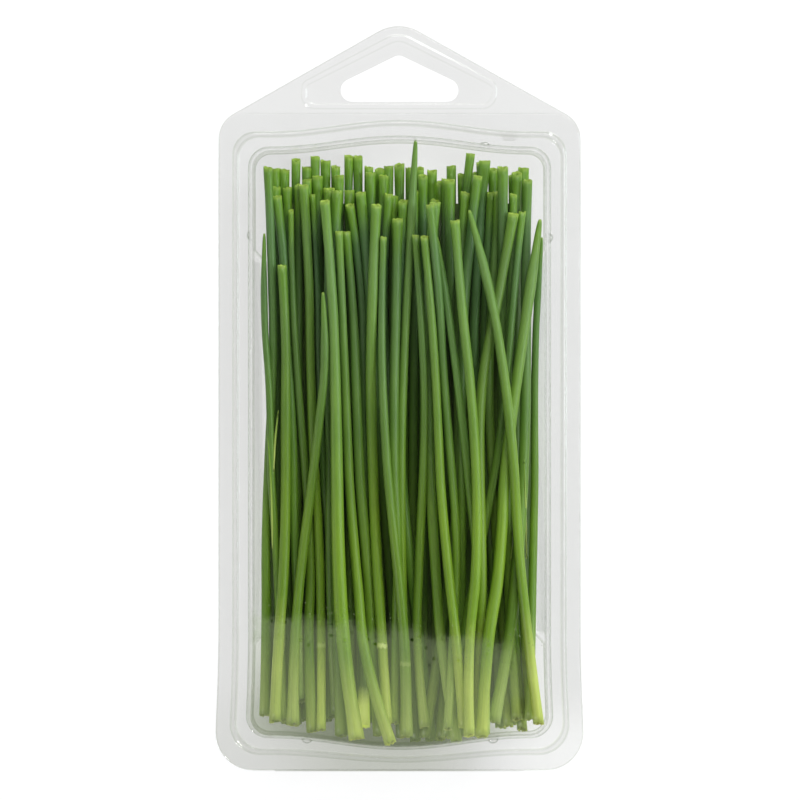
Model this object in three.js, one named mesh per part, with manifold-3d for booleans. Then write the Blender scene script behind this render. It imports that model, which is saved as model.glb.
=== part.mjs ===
// A bunch of cut chives lying in a clear hinged pack with a hang tab.
// Millimetres. X runs across the pack, +Y from the cut feet to the hang tab,
// +Z up through the lid. The pack lies on its back: the tray's floor is at z = 0.

import * as THREE from "three";
import * as BufferGeometryUtils from "three/addons/utils/BufferGeometryUtils.js";
import Module from "manifold-3d";

const wasm = await Module();
wasm.setup();

// ---------------------------------------------------------------- dimensions

const SHEET = 0.5; // thickness of the formed plastic
const CLEARANCE = 0.3; // air left between touching pieces

const BODY_HALF_WIDTH = 50.7; // at the middle of the pack
const FOOT_FLARE = 0.8; // extra half width at the bottom edge
const FLARE_START_Y = -70;
const BODY_TOP_Y = 80.1;
const BODY_BOTTOM_Y = -103.6;

const TRAY_FLANGE_Z = 13; // underside of the tray's flange
const LID_FLANGE_Z = TRAY_FLANGE_Z + SHEET + CLEARANCE;
const LID_TOP_Z = 25.4;
const BEAD_HEIGHT = 1; // locking bead that runs round both flanges
const BEAD_FLANK = 0.5;
const EDGE_CHAMFER = 0.9; // eased edge round the floor and round the lid's panel

const TRAY_WAIST = 3.6; // how far the tray's long walls lean in at the floor
const WAIST_TOP_Y = 38; // the leaning stretch of the long walls
const WAIST_BOTTOM_Y = -65;
const WAIST_RUN = 4; // length of the slanted facet at each end of it

const BOW_HALF_WIDTH = 30; // the end walls bow outwards over this half width
const BOW_STEP = 6;
const CORNER_STEPS = 4;

// Closed lines round the pack, from its edge to the wall of its cavity: inset
// from the long sides, y of the two end walls, how far those bow out, and the
// radii of the corners.
const EDGE = { side: 0, top: BODY_TOP_Y, bottom: BODY_BOTTOM_Y, topBow: 0, bottomBow: 0, topR: 8, bottomR: 10.5 };
const BEAD_OUT = { side: 4.1, top: 74.9, bottom: -99.8, topBow: 3.3, bottomBow: 2.2, topR: 6.5, bottomR: 8.5 };
const BEAD_IN = { side: 6, top: 73, bottom: -97.9, topBow: 3.5, bottomBow: 2.5, topR: 5.5, bottomR: 7.5 };
const WALL_MOUTH = { side: 8.6, top: 70.4, bottom: -95.3, topBow: 4.6, bottomBow: 3.4, topR: 5.5, bottomR: 6 };
const WALL_FOOT = { side: 9.8, top: 69.2, bottom: -94.1, topBow: 4.6, bottomBow: 3.3, topR: 5, bottomR: 5.5 };

// Hang tab and its hole: corner circles [x, y, radius].
const TAB_SLOPE = THREE.MathUtils.degToRad(30);
const TAB_APEX = [-0.3, 93, 11.5];
const TAB_ROOT_Y = 79.2; // the tab plate reaches down into the flange to here
const TAB_ROOT_INSET = 2;
const HOLE_CORNERS = [[-13.3, 86.6, 3.2], [13.3, 86.6, 3.2], [-0.2, 93.5, 2.8]];
const RIDGE_CORNERS = [
  [-25.2, 84.1, 2.6], [-25, 87.4, 2.6], [-0.3, 94.6, 7.2], [24.8, 87.4, 2.6], [24.8, 84.1, 2.6],
];
const ROUND_STEPS = 24; // points on a full turn of a corner circle
const RIDGE_WIDTH = 1.6;
const RIDGE_HEIGHT = 0.6;

// Snap buttons between the bead and the cavity wall: [x, y].
const BUTTONS = [[23.9, 72.1], [-43.3, 46.2], [43.3, 45.8], [25.9, -96.8], [-26.5, -96.8]];
const BUTTON_RADIUS = 1;
const BUTTON_TOP_RADIUS = 0.75;
const BUTTON_HEIGHT = 1;

const HINGE_RADIUS = 0.3;
const HINGE_LENGTH = 70;
const HINGE_Y = BODY_BOTTOM_Y - 0.6;
const HINGE_Z = TRAY_FLANGE_Z + SHEET + CLEARANCE / 2;

// Chives that show at the front, from the deepest to the topmost. Each lies
// between y = foot and y = head, x holds its place across the pack at equal
// steps from foot to head, wide and thin are its diameters at the two ends,
// and a tip tapers to a point where a cut end stays blunt.
const FRONT_CHIVES = [
  { foot: -94, head: 57.5, x: [-13.5, -17, -19.5, -21.5, -22.5, -23, -24.5], wide: 2.5, thin: 1.5 },
  { foot: -88.5, head: 59, x: [-18, -19, -19.5, -19.5, -20, -20, -19.5], wide: 2.5, thin: 2.5 },
  { foot: -94.5, head: 58.5, x: [-16.5, -17, -17.5, -18, -18.5, -18.5, -17.5], wide: 3.1, thin: 2.7 },
  { foot: -92, head: 54.5, x: [-10, -10, -9.5, -9.5, -10, -10.5, -14], wide: 3.1, thin: 2.4 },
  { foot: -95, head: 58, x: [0.5, -1, -3, -5, -7, -8.5, -11], wide: 2.8, thin: 2.7 },
  { foot: -96, head: 57.5, x: [4.5, 3, 1, -1.5, -3.5, -4.5, -3], wide: 2.8, thin: 2.2 },
  { foot: -96, head: 55.5, x: [9, 6, 3, 0.5, 0, 0.5, 1], wide: 3.1, thin: 2.5 },
  { foot: -95.5, head: 69, x: [11.5, 13, 15, 16.5, 16, 17, 20], wide: 2.5, thin: 2.2 },
  { foot: -95, head: 61.5, x: [7, 11.5, 15, 16.5, 16.5, 14.5, 14], wide: 2.8, thin: 2.8 },
  { foot: -94.5, head: 58, x: [14.5, 15.5, 16.5, 17, 16.5, 17, 18.5], wide: 2.5, thin: 2.5 },
  { foot: -94.5, head: 67, x: [23, 24.5, 24, 22.5, 21, 22, 24], wide: 2.5, thin: 2.8 },
  { foot: -94.5, head: 62.5, x: [17.5, 17.5, 17.5, 17.5, 17.5, 19, 22], wide: 2.4, thin: 2.5 },
  { foot: -92.5, head: 58, x: [28.5, 27.5, 26, 24.5, 24, 24.5, 26], wide: 2.8, thin: 2.5 },
  { foot: -92, head: 58, x: [30.5, 29.5, 27.5, 26, 25, 26.5, 28], wide: 2.8, thin: 2.5 },
  { foot: -93, head: 65, x: [34.5, 32.5, 30, 29, 29, 29, 29], wide: 2.5, thin: 2.8 },
  { foot: -89.5, head: 63.5, x: [36.5, 35, 34, 33, 32.5, 32.5, 33], wide: 2.2, thin: 2.8 },
  { foot: -90, head: 57.5, x: [33, 31, 30.5, 30, 30.5, 31.5, 32], wide: 2.8, thin: 2 },
  { foot: -85, head: 57, x: [-27.5, -28.5, -29.5, -30, -31, -32, -34.5], wide: 2.5, thin: 2.5 },
  { foot: -93.5, head: 53, x: [-24.5, -25.5, -25, -26.5, -28.5, -30, -30.5], wide: 3.1, thin: 1.4 },
  { foot: -89, head: 65, x: [-38, -37.5, -37.5, -36.5, -35.5, -36, -37], wide: 2.7, thin: 2.2 },
  { foot: -93, head: 60, x: [-22, -22, -22.5, -24, -25, -25.5, -27], wide: 2.5, thin: 2.5 },
  { foot: -90.5, head: 46, x: [-32.5, -33.5, -34.5, -36, -36.5, -38, -38], wide: 2.5, thin: 1.7, tip: true },
  { foot: -90, head: 45.5, x: [36.5, 37, 37.5, 38, 38, 38.5, 40], wide: 2.5, thin: 1.7, tip: true },
  { foot: -90.5, head: 61.5, x: [26.5, 31, 33.5, 35, 35.5, 35.5, 36], wide: 3.4, thin: 2.5 },
  { foot: -95, head: 52.5, x: [13, 17, 22, 26.5, 30, 32, 34.5], wide: 2.4, thin: 1.8 },
  { foot: -94, head: 45.5, x: [24, 24, 22, 19.5, 17, 14, 10.5], wide: 2.4, thin: 2, tip: true },
  { foot: -95, head: 72, x: [1.5, 1, 0.5, 0.5, 1.5, 3, 4.5], wide: 2.8, thin: 2.2, tip: true },
  { foot: -91, head: 50.5, x: [-1.5, -1, -0.5, -1.5, -1.5, -1, -0.5], wide: 2.5, thin: 2.7 },
  { foot: -96, head: 55, x: [16, 12, 10, 8.5, 8, 8, 10], wide: 2.8, thin: 2.7 },
  { foot: -94.5, head: 47, x: [-5.5, -7.5, -9, -11, -12, -13, -15], wide: 3.4, thin: 2.2 },
  { foot: -90.5, head: 37.5, x: [-35, -34, -32.5, -32, -32, -32, -33], wide: 3.1, thin: 2.4 },
  { foot: -92.5, head: 54.5, x: [13.5, 15, 16, 14.5, 12.5, 11, 8.5], wide: 2.4, thin: 2.2 },
  { foot: -92, head: 46, x: [7, 5, 5.5, 6.5, 7, 6, 4.5], wide: 2.7, thin: 1.8 },
  { foot: -92, head: 45.5, x: [18, 16, 13.5, 11.5, 10.5, 9, 7], wide: 2.8, thin: 2.1 },
  { foot: -91, head: 54.5, x: [-3.5, -5, -6.5, -7.5, -8, -7.5, -6.5], wide: 2.9, thin: 2.8 },
  { foot: -94.5, head: 45.5, x: [2, 1.5, -0.5, -3, -4.5, -5, -4.5], wide: 3.1, thin: 1.7 },
  { foot: -96.5, head: 47, x: [-2.5, -9.5, -12, -14, -15, -16, -17], wide: 3.1, thin: 2 },
  { foot: -95.5, head: 55.5, x: [-12, -15.5, -17, -17.5, -18, -19, -21], wide: 3.9, thin: 2.5 },
  { foot: -94.5, head: 52, x: [21.5, 22.5, 23, 22.5, 23, 27.5, 32], wide: 2.7, thin: 2.7 },
  { foot: -94.5, head: 50.5, x: [23, 24.5, 28, 29.5, 32.5, 36, 39.5], wide: 3.4, thin: 2.7, tip: true },
  { foot: -94.2, head: 50, x: [19.5, 19.5, 21.5, 21.5, 20, 17.5, 15.5], wide: 2.8, thin: 2.5 },
  { foot: -91, head: 53, x: [39, 36, 33.5, 32, 29.5, 25.5, 19.5], wide: 2.9, thin: 2.5, tip: true },
  { foot: -91.5, head: 30, x: [-30, -29.5, -28, -25.5, -23, -21, -21.5], wide: 3.1, thin: 2, tip: true },
];
const FRONT_SIDES = 6;
const FRONT_RINGS = 11;
const TIP_LENGTH = 14;
const TIP_DIAMETER = 0.5;
const LAYING_STEP = 4; // spacing of the places where chives are tested for contact
const LAYING_GAP = 0.28; // air left between two chives that touch
const STEM_DROOP = 0.09; // most that a stem falls away, per mm, past what holds it up
const EASING_PASSES = 10;
const END_SUPPORT = 5; // a chive still holds others up this far past its ends

// Rows of chives under them, each row held together by a thin core.
const REAR_ROWS = [
  {
    name: "chives_back_row", count: 25, seed: 11,
    left: -35.2, right: 35.2, height: 2.2, headMin: 61, headMax: 68.5,
  },
  {
    name: "chives_middle_row", count: 17, seed: 29,
    left: -34.5, right: 13, height: 5.1, headMin: 56, headMax: 65,
  },
];
const ROW_FOOT_MIN = -92;
const ROW_FOOT_MAX = -87;
const ROW_DIAMETER_MIN = 2.3;
const ROW_DIAMETER_MAX = 2.7;
const ROW_SWAY = 0.45; // sideways wander of each chive along its length
const ROW_SIDES = 6;
const ROW_RINGS = 7;
const CORE_LENGTH = 44;
const CORE_THICKNESS = 0.9;
const CORE_Y = -15;

// ----------------------------------------------------------------- materials

const clearPlastic = new THREE.MeshStandardMaterial({
  color: 0xe6ebe9, roughness: 0.12, metalness: 0, transparent: true, opacity: 0.25,
});
const chiveGreen = new THREE.MeshStandardMaterial({ color: 0x5d9632, roughness: 0.5, metalness: 0 });
const shadedGreen = new THREE.MeshStandardMaterial({ color: 0x35631c, roughness: 0.55, metalness: 0 });

// ------------------------------------------------------------ solids, joining

function toManifold(geometry) {
  const bare = geometry.clone();
  bare.deleteAttribute("normal");
  bare.deleteAttribute("uv");
  const merged = BufferGeometryUtils.mergeVertices(bare, 1e-5);
  const vertProperties = new Float32Array(merged.attributes.position.array);
  const triVerts = new Uint32Array(merged.index.array);
  return new wasm.Manifold(new wasm.Mesh({ numProp: 3, vertProperties, triVerts }));
}

function toGeometry(solid) {
  const mesh = solid.getMesh();
  const geometry = new THREE.BufferGeometry();
  geometry.setAttribute("position", new THREE.BufferAttribute(new Float32Array(mesh.vertProperties), 3));
  geometry.setIndex(new THREE.BufferAttribute(new Uint32Array(mesh.triVerts), 1));
  return geometry;
}

function joinAll(geometries) {
  const solids = geometries.map(toManifold);
  const joined = solids.slice(1).reduce((sum, solid) => sum.add(solid), solids[0]);
  return toGeometry(joined);
}

// Closes a stack of rings with equal point counts into one body, with a fan
// from the middle of the first ring and of the last one.
function loft(rings) {
  const count = rings[0].length;
  const points = rings.flat();
  const index = [];
  for (let r = 0; r + 1 < rings.length; r += 1) {
    for (let k = 0; k < count; k += 1) {
      const next = (k + 1) % count;
      const a = r * count + k;
      const b = r * count + next;
      index.push(a, b, b + count, a, b + count, a + count);
    }
  }
  const addFan = (ring, start, reversed) => {
    const middle = new THREE.Vector3();
    ring.forEach((p) => middle.addScaledVector(p, 1 / count));
    points.push(middle);
    const hub = points.length - 1;
    for (let k = 0; k < count; k += 1) {
      const next = (k + 1) % count;
      index.push(hub, start + (reversed ? next : k), start + (reversed ? k : next));
    }
  };
  addFan(rings[0], 0, true);
  addFan(rings[rings.length - 1], (rings.length - 1) * count, false);
  const geometry = new THREE.BufferGeometry().setFromPoints(points);
  geometry.setIndex(facingOut(points, index));
  return geometry;
}

function facingOut(points, index) {
  let volume = 0;
  const cross = new THREE.Vector3();
  for (let i = 0; i < index.length; i += 3) {
    cross.crossVectors(points[index[i + 1]], points[index[i + 2]]);
    volume += points[index[i]].dot(cross);
  }
  if (volume > 0) return index;
  const flipped = [];
  for (let i = 0; i < index.length; i += 3) flipped.push(index[i], index[i + 2], index[i + 1]);
  return flipped;
}

// -------------------------------------------------------------- pack outlines

function bodyHalfWidth(y) {
  const flare = THREE.MathUtils.clamp((FLARE_START_Y - y) / (FLARE_START_Y - BODY_BOTTOM_Y), 0, 1);
  return BODY_HALF_WIDTH + FOOT_FLARE * flare;
}

function grown(line, by) {
  return {
    ...line,
    side: line.side - by,
    top: line.top + by,
    bottom: line.bottom - by,
    topR: line.topR + by,
    bottomR: line.bottomR + by,
  };
}

function bowAt(x, height) {
  const reach = Math.min(Math.abs(x) / BOW_HALF_WIDTH, 1);
  return height * 0.5 * (1 + Math.cos(Math.PI * reach));
}

// One closed line of the pack at height z, anticlockwise from the bottom's middle.
function packLine(line, z) {
  const points = [];
  const put = (x, y) => points.push(new THREE.Vector3(x, y, z));
  const corner = (centreX, centreY, radius, startAngle) => {
    for (let k = 0; k <= CORNER_STEPS; k += 1) {
      const angle = startAngle + (Math.PI / 2) * (k / CORNER_STEPS);
      put(centreX + radius * Math.cos(angle), centreY + radius * Math.sin(angle));
    }
  };
  const lowX = bodyHalfWidth(line.bottom) - line.side - line.bottomR;
  const highX = bodyHalfWidth(line.top) - line.side - line.topR;
  const waist = line.waist ?? 0;
  const sideStations = [
    [-80, 0],
    [WAIST_BOTTOM_Y - WAIST_RUN, 0],
    [WAIST_BOTTOM_Y, waist],
    [WAIST_TOP_Y, waist],
    [WAIST_TOP_Y + WAIST_RUN, 0],
    [58, 0],
  ];
  const halfSteps = BOW_HALF_WIDTH / BOW_STEP;

  for (let k = 0; k <= halfSteps; k += 1) {
    put(k * BOW_STEP, line.bottom - bowAt(k * BOW_STEP, line.bottomBow));
  }
  corner(lowX, line.bottom + line.bottomR, line.bottomR, -Math.PI / 2);
  sideStations.forEach(([y, lean]) => put(bodyHalfWidth(y) - line.side - lean, y));
  corner(highX, line.top - line.topR, line.topR, 0);
  for (let k = halfSteps; k >= -halfSteps; k -= 1) {
    put(k * BOW_STEP, line.top + bowAt(k * BOW_STEP, line.topBow));
  }
  corner(-highX, line.top - line.topR, line.topR, Math.PI / 2);
  sideStations.toReversed().forEach(([y, lean]) => put(-bodyHalfWidth(y) + line.side + lean, y));
  corner(-lowX, line.bottom + line.bottomR, line.bottomR, Math.PI);
  for (let k = -halfSteps; k < 0; k += 1) {
    put(k * BOW_STEP, line.bottom - bowAt(k * BOW_STEP, line.bottomBow));
  }
  return points;
}

// The flange with its locking bead, from the pack's edge to the cavity wall.
function flangeLines(z) {
  return [
    packLine(EDGE, z),
    packLine(BEAD_OUT, z),
    packLine(grown(BEAD_OUT, -BEAD_FLANK), z + BEAD_HEIGHT),
    packLine(grown(BEAD_IN, BEAD_FLANK), z + BEAD_HEIGHT),
    packLine(BEAD_IN, z),
  ];
}

// ---------------------------------------------------------------- the holder

function makeTray() {
  const floor = { ...WALL_FOOT, waist: TRAY_WAIST };
  const inside = [
    ...flangeLines(TRAY_FLANGE_Z + SHEET),
    packLine(WALL_MOUTH, TRAY_FLANGE_Z + SHEET),
    packLine(floor, SHEET + EDGE_CHAMFER),
    packLine(grown(floor, -EDGE_CHAMFER), SHEET),
  ];
  const outside = [
    ...flangeLines(TRAY_FLANGE_Z),
    packLine(grown(WALL_MOUTH, SHEET), TRAY_FLANGE_Z),
    packLine(grown(floor, SHEET), EDGE_CHAMFER),
    packLine(grown(floor, SHEET - EDGE_CHAMFER), 0),
  ];
  return joinAll([loft([...inside.toReversed(), ...outside]), makeTab(), makeRidge()]);
}

function makeLid() {
  const inside = [
    ...flangeLines(LID_FLANGE_Z),
    packLine(WALL_MOUTH, LID_FLANGE_Z),
    packLine(WALL_FOOT, LID_TOP_Z - SHEET - EDGE_CHAMFER),
    packLine(grown(WALL_FOOT, -EDGE_CHAMFER), LID_TOP_Z - SHEET),
  ];
  const outside = [
    ...flangeLines(LID_FLANGE_Z + SHEET),
    packLine(grown(WALL_MOUTH, SHEET), LID_FLANGE_Z + SHEET),
    packLine(grown(WALL_FOOT, SHEET), LID_TOP_Z - EDGE_CHAMFER),
    packLine(grown(WALL_FOOT, SHEET - EDGE_CHAMFER), LID_TOP_Z),
  ];
  const buttonRoot = SHEET / 2; // how far a button is sunk into the flange
  const buttons = BUTTONS.map(([x, y]) => {
    const length = BUTTON_HEIGHT + buttonRoot;
    const button = new THREE.CylinderGeometry(BUTTON_TOP_RADIUS, BUTTON_RADIUS, length, 10);
    button.rotateX(Math.PI / 2);
    button.translate(x, y, LID_FLANGE_Z + SHEET - buttonRoot + length / 2);
    return button;
  });
  return joinAll([loft([...inside.toReversed(), ...outside]), ...buttons]);
}

// The outline that wraps a convex run of corner circles [x, y, radius].
function wrapped(circles) {
  const samples = [];
  circles.forEach(([x, y, radius]) => {
    for (let k = 0; k < ROUND_STEPS; k += 1) {
      const angle = (2 * Math.PI * k) / ROUND_STEPS;
      samples.push(new THREE.Vector2(x + radius * Math.cos(angle), y + radius * Math.sin(angle)));
    }
  });
  samples.sort((a, b) => a.x - b.x || a.y - b.y);
  const halfHull = (ordered) => {
    const hull = [];
    ordered.forEach((p) => {
      while (hull.length > 1) {
        const a = hull[hull.length - 2];
        const b = hull[hull.length - 1];
        if ((b.x - a.x) * (p.y - a.y) - (b.y - a.y) * (p.x - a.x) > 1e-6) break;
        hull.pop();
      }
      hull.push(p);
    });
    hull.pop();
    return hull;
  };
  return [...halfHull(samples), ...halfHull(samples.toReversed())];
}

function plate(outline, hole, z, thickness) {
  const shape = new THREE.Shape(outline);
  shape.holes.push(new THREE.Path(hole));
  const geometry = new THREE.ExtrudeGeometry(shape, { depth: thickness, bevelEnabled: false });
  geometry.translate(0, 0, z);
  return geometry;
}

function makeTab() {
  const [apexX, apexY, apexR] = TAB_APEX;
  const cornerX = bodyHalfWidth(BODY_TOP_Y) - EDGE.topR;
  const cornerY = BODY_TOP_Y - EDGE.topR;
  const shoulder = [cornerX + EDGE.topR * Math.sin(TAB_SLOPE), cornerY + EDGE.topR * Math.cos(TAB_SLOPE)];
  const outline = [
    new THREE.Vector2(-shoulder[0] + TAB_ROOT_INSET, TAB_ROOT_Y),
    new THREE.Vector2(shoulder[0] - TAB_ROOT_INSET, TAB_ROOT_Y),
    new THREE.Vector2(shoulder[0], shoulder[1]),
  ];
  const arcSteps = 8;
  for (let k = 0; k <= arcSteps; k += 1) {
    const angle = Math.PI / 2 - TAB_SLOPE + (2 * TAB_SLOPE * k) / arcSteps;
    outline.push(new THREE.Vector2(apexX + apexR * Math.cos(angle), apexY + apexR * Math.sin(angle)));
  }
  outline.push(new THREE.Vector2(-shoulder[0], shoulder[1]));
  return plate(outline, wrapped(HOLE_CORNERS), TRAY_FLANGE_Z, SHEET);
}

function makeRidge() {
  const inner = RIDGE_CORNERS.map(([x, y, radius]) => [x, y, radius - RIDGE_WIDTH]);
  const z = TRAY_FLANGE_Z + SHEET / 2;
  return plate(wrapped(RIDGE_CORNERS), wrapped(inner), z, SHEET / 2 + RIDGE_HEIGHT);
}

function makeHinge() {
  const rod = new THREE.CylinderGeometry(HINGE_RADIUS, HINGE_RADIUS, HINGE_LENGTH, 8);
  rod.rotateZ(Math.PI / 2);
  rod.translate(0, HINGE_Y, HINGE_Z);
  return rod;
}

// ---------------------------------------------------------------- the chives

// Smooth curve through equally spaced values, at 0 to 1 along them.
function along(values, part) {
  const last = values.length - 1;
  const place = THREE.MathUtils.clamp(part, 0, 1) * last;
  const i = Math.min(Math.floor(place), last - 1);
  const t = place - i;
  const b = values[i];
  const c = values[i + 1];
  const a = i > 0 ? values[i - 1] : 2 * b - c;
  const d = i + 2 <= last ? values[i + 2] : 2 * c - b;
  return b + 0.5 * t * (c - a + t * (2 * a - 5 * b + 4 * c - d + t * (3 * (b - c) + d - a)));
}

function radiusAt(chive, y) {
  const part = (y - chive.foot) / (chive.head - chive.foot);
  const radius = THREE.MathUtils.lerp(chive.wide, chive.thin, part) / 2;
  if (!chive.tip) return radius;
  const fromTip = THREE.MathUtils.clamp((chive.head - y) / TIP_LENGTH, 0, 1);
  return THREE.MathUtils.lerp(TIP_DIAMETER / 2, radius, Math.sqrt(fromTip));
}

function acrossAt(chive, y) {
  return along(chive.x, (y - chive.foot) / (chive.head - chive.foot));
}

// Lowest centre height at which a chive of this radius clears the tray.
function floorHeight(x, y, radius) {
  const onFloor = SHEET + CLEARANCE + radius;
  const leaning = y > WAIST_BOTTOM_Y - WAIST_RUN && y < WAIST_TOP_Y + WAIST_RUN;
  if (!leaning) return onFloor;
  const wallRise = TRAY_FLANGE_Z / (TRAY_WAIST + WALL_FOOT.side - WALL_MOUTH.side);
  const floorHalf = BODY_HALF_WIDTH - WALL_FOOT.side - TRAY_WAIST;
  const past = Math.abs(x) + radius * 1.1 + CLEARANCE - floorHalf;
  return Math.max(onFloor, SHEET + past * wallRise);
}

// Heights of a stem that rests on its supports: it falls away gently past each
// one, and is eased into a smooth line that never goes below what it needs.
function drapedOver(places, needs) {
  const heldAt = (y) => Math.max(...needs.map((need, k) => need - STEM_DROOP * Math.abs(y - places[k])));
  let heights = places.map(heldAt);
  for (let pass = 0; pass < EASING_PASSES; pass += 1) {
    heights = heights.map((height, i) => {
      const before = heights[Math.max(i - 1, 0)];
      const after = heights[Math.min(i + 1, heights.length - 1)];
      return Math.max(needs[i], (before + 2 * height + after) / 4);
    });
  }
  return heights;
}

function heightAt(laid, y) {
  const first = laid.places[0];
  const step = (laid.places[laid.places.length - 1] - first) / (laid.places.length - 1);
  const place = THREE.MathUtils.clamp((y - first) / step, 0, laid.places.length - 1);
  const i = Math.min(Math.floor(place), laid.places.length - 2);
  return THREE.MathUtils.lerp(laid.heights[i], laid.heights[i + 1], place - i);
}

// Lays a chive down on the tray and on the chives that are already there.
function layDown(chive, pile) {
  const steps = Math.round((chive.head - chive.foot) / LAYING_STEP);
  const places = Array.from({ length: steps + 1 }, (_, k) => (
    THREE.MathUtils.lerp(chive.foot, chive.head, k / steps)
  ));
  const needs = places.map((y) => {
    const x = acrossAt(chive, y);
    const radius = radiusAt(chive, y);
    let height = floorHeight(x, y, radius);
    pile.forEach((other) => {
      if (y < other.chive.foot - END_SUPPORT || y > other.chive.head + END_SUPPORT) return;
      const reach = radius + radiusAt(other.chive, y) + LAYING_GAP;
      const apart = Math.abs(x - acrossAt(other.chive, y));
      if (apart >= reach) return;
      height = Math.max(height, heightAt(other, y) + Math.sqrt(reach * reach - apart * apart));
    });
    return height;
  });
  return { chive, places, heights: drapedOver(places, needs) };
}

// A tapering stem as a stack of rings square to its own line.
function stem(laid, ringCount, sides) {
  const { foot, head } = laid.chive;
  const centre = (part) => {
    const y = THREE.MathUtils.lerp(foot, head, part);
    return new THREE.Vector3(acrossAt(laid.chive, y), y, heightAt(laid, y));
  };
  const rings = [];
  for (let r = 0; r < ringCount; r += 1) {
    const part = r / (ringCount - 1);
    const middle = centre(part);
    const ahead = centre(Math.min(part + 0.02, 1)).sub(centre(Math.max(part - 0.02, 0))).normalize();
    const across = new THREE.Vector3().crossVectors(ahead, new THREE.Vector3(0, 0, 1)).normalize();
    const up = new THREE.Vector3().crossVectors(across, ahead);
    const radius = radiusAt(laid.chive, middle.y);
    rings.push(Array.from({ length: sides }, (_, k) => {
      const angle = (2 * Math.PI * k) / sides;
      return middle.clone()
        .addScaledVector(across, radius * Math.cos(angle))
        .addScaledVector(up, radius * Math.sin(angle));
    }));
  }
  return loft(rings);
}

function seededRandom(seed) {
  let state = seed;
  return () => {
    state = (Math.imul(state, 1664525) + 1013904223) >>> 0;
    return state / 4294967296;
  };
}

function rowOfChives(row) {
  const random = seededRandom(row.seed);
  const between = (low, high) => low + (high - low) * random();
  return Array.from({ length: row.count }, (_, k) => {
    const slot = THREE.MathUtils.lerp(row.left, row.right, k / (row.count - 1));
    const chive = {
      foot: between(ROW_FOOT_MIN, ROW_FOOT_MAX),
      head: between(row.headMin, row.headMax),
      x: [0, 1, 2, 3].map(() => slot + between(-ROW_SWAY, ROW_SWAY)),
      wide: between(ROW_DIAMETER_MIN, ROW_DIAMETER_MAX),
      thin: between(ROW_DIAMETER_MIN, ROW_DIAMETER_MAX),
    };
    return { chive, places: [chive.foot, chive.head], heights: [row.height, row.height] };
  });
}

function makeRow(row, laidRow) {
  const core = new THREE.BoxGeometry(row.right - row.left, CORE_LENGTH, CORE_THICKNESS);
  core.translate((row.left + row.right) / 2, CORE_Y, row.height);
  return joinAll([core, ...laidRow.map((laid) => stem(laid, ROW_RINGS, ROW_SIDES))]);
}

// ------------------------------------------------------------------ assembly

const bunch = new THREE.Group();

function addPiece(name, geometry, material) {
  const mesh = new THREE.Mesh(geometry, material);
  mesh.name = name;
  bunch.add(mesh);
}

addPiece("tray", makeTray(), clearPlastic);
addPiece("lid", makeLid(), clearPlastic);
addPiece("hinge", makeHinge(), clearPlastic);

const pile = [];
REAR_ROWS.forEach((row) => {
  const laidRow = rowOfChives(row);
  addPiece(row.name, makeRow(row, laidRow), shadedGreen);
  pile.push(...laidRow);
});
FRONT_CHIVES.forEach((chive, k) => {
  const laid = layDown(chive, pile);
  pile.push(laid);
  const name = `chive_${String(k + 1).padStart(2, "0")}`;
  addPiece(name, stem(laid, FRONT_RINGS, FRONT_SIDES), chiveGreen);
});

export default bunch;
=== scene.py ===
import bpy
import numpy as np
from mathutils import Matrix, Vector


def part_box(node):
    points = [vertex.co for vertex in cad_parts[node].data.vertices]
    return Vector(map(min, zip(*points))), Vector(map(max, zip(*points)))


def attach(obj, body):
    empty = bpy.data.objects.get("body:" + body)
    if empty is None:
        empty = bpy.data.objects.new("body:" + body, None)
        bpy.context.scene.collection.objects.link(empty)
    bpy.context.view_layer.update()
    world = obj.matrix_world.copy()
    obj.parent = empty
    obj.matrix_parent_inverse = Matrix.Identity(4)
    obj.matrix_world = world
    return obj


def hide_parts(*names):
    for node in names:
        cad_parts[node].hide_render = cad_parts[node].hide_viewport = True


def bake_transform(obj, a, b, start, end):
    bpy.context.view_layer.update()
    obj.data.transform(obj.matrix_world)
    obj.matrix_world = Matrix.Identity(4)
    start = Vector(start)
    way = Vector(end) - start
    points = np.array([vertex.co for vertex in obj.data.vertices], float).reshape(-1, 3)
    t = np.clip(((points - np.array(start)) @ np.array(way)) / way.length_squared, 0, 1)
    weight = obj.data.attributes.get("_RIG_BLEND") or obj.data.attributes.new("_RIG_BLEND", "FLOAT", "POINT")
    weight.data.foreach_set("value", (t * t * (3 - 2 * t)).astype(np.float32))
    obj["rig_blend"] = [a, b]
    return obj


bl_info = {
    "name": "Chive Bunch in a Hinged Pack",
    "version": (1, 0, 0),
    "blender": (4, 5, 0),
    "location": "3D Viewport > Sidebar > Chives",
    "description": "Dresses a packed frame as cut chives in a clear hinged pack",
    "category": "Add Mesh",
}

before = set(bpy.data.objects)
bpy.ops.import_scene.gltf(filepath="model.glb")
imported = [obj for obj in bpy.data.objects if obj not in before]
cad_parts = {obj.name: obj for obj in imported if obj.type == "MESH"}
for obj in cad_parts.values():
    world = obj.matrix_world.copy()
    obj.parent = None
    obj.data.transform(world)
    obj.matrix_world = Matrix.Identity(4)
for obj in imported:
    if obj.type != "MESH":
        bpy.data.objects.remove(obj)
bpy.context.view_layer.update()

import math

import bmesh
import bpy
from mathutils import Matrix, Vector, noise
from mathutils.bvhtree import BVHTree

MM = 0.001

# ------------------------------------------------------- places in the frame

TRAY_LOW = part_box("tray")[0]
LID_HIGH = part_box("lid")[1]
HINGE_LOW, HINGE_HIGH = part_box("hinge")
FRONT_NODES = sorted(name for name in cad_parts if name.startswith("chive_"))

# --------------- the pack's measures in millimetres, as its solids have them

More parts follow.
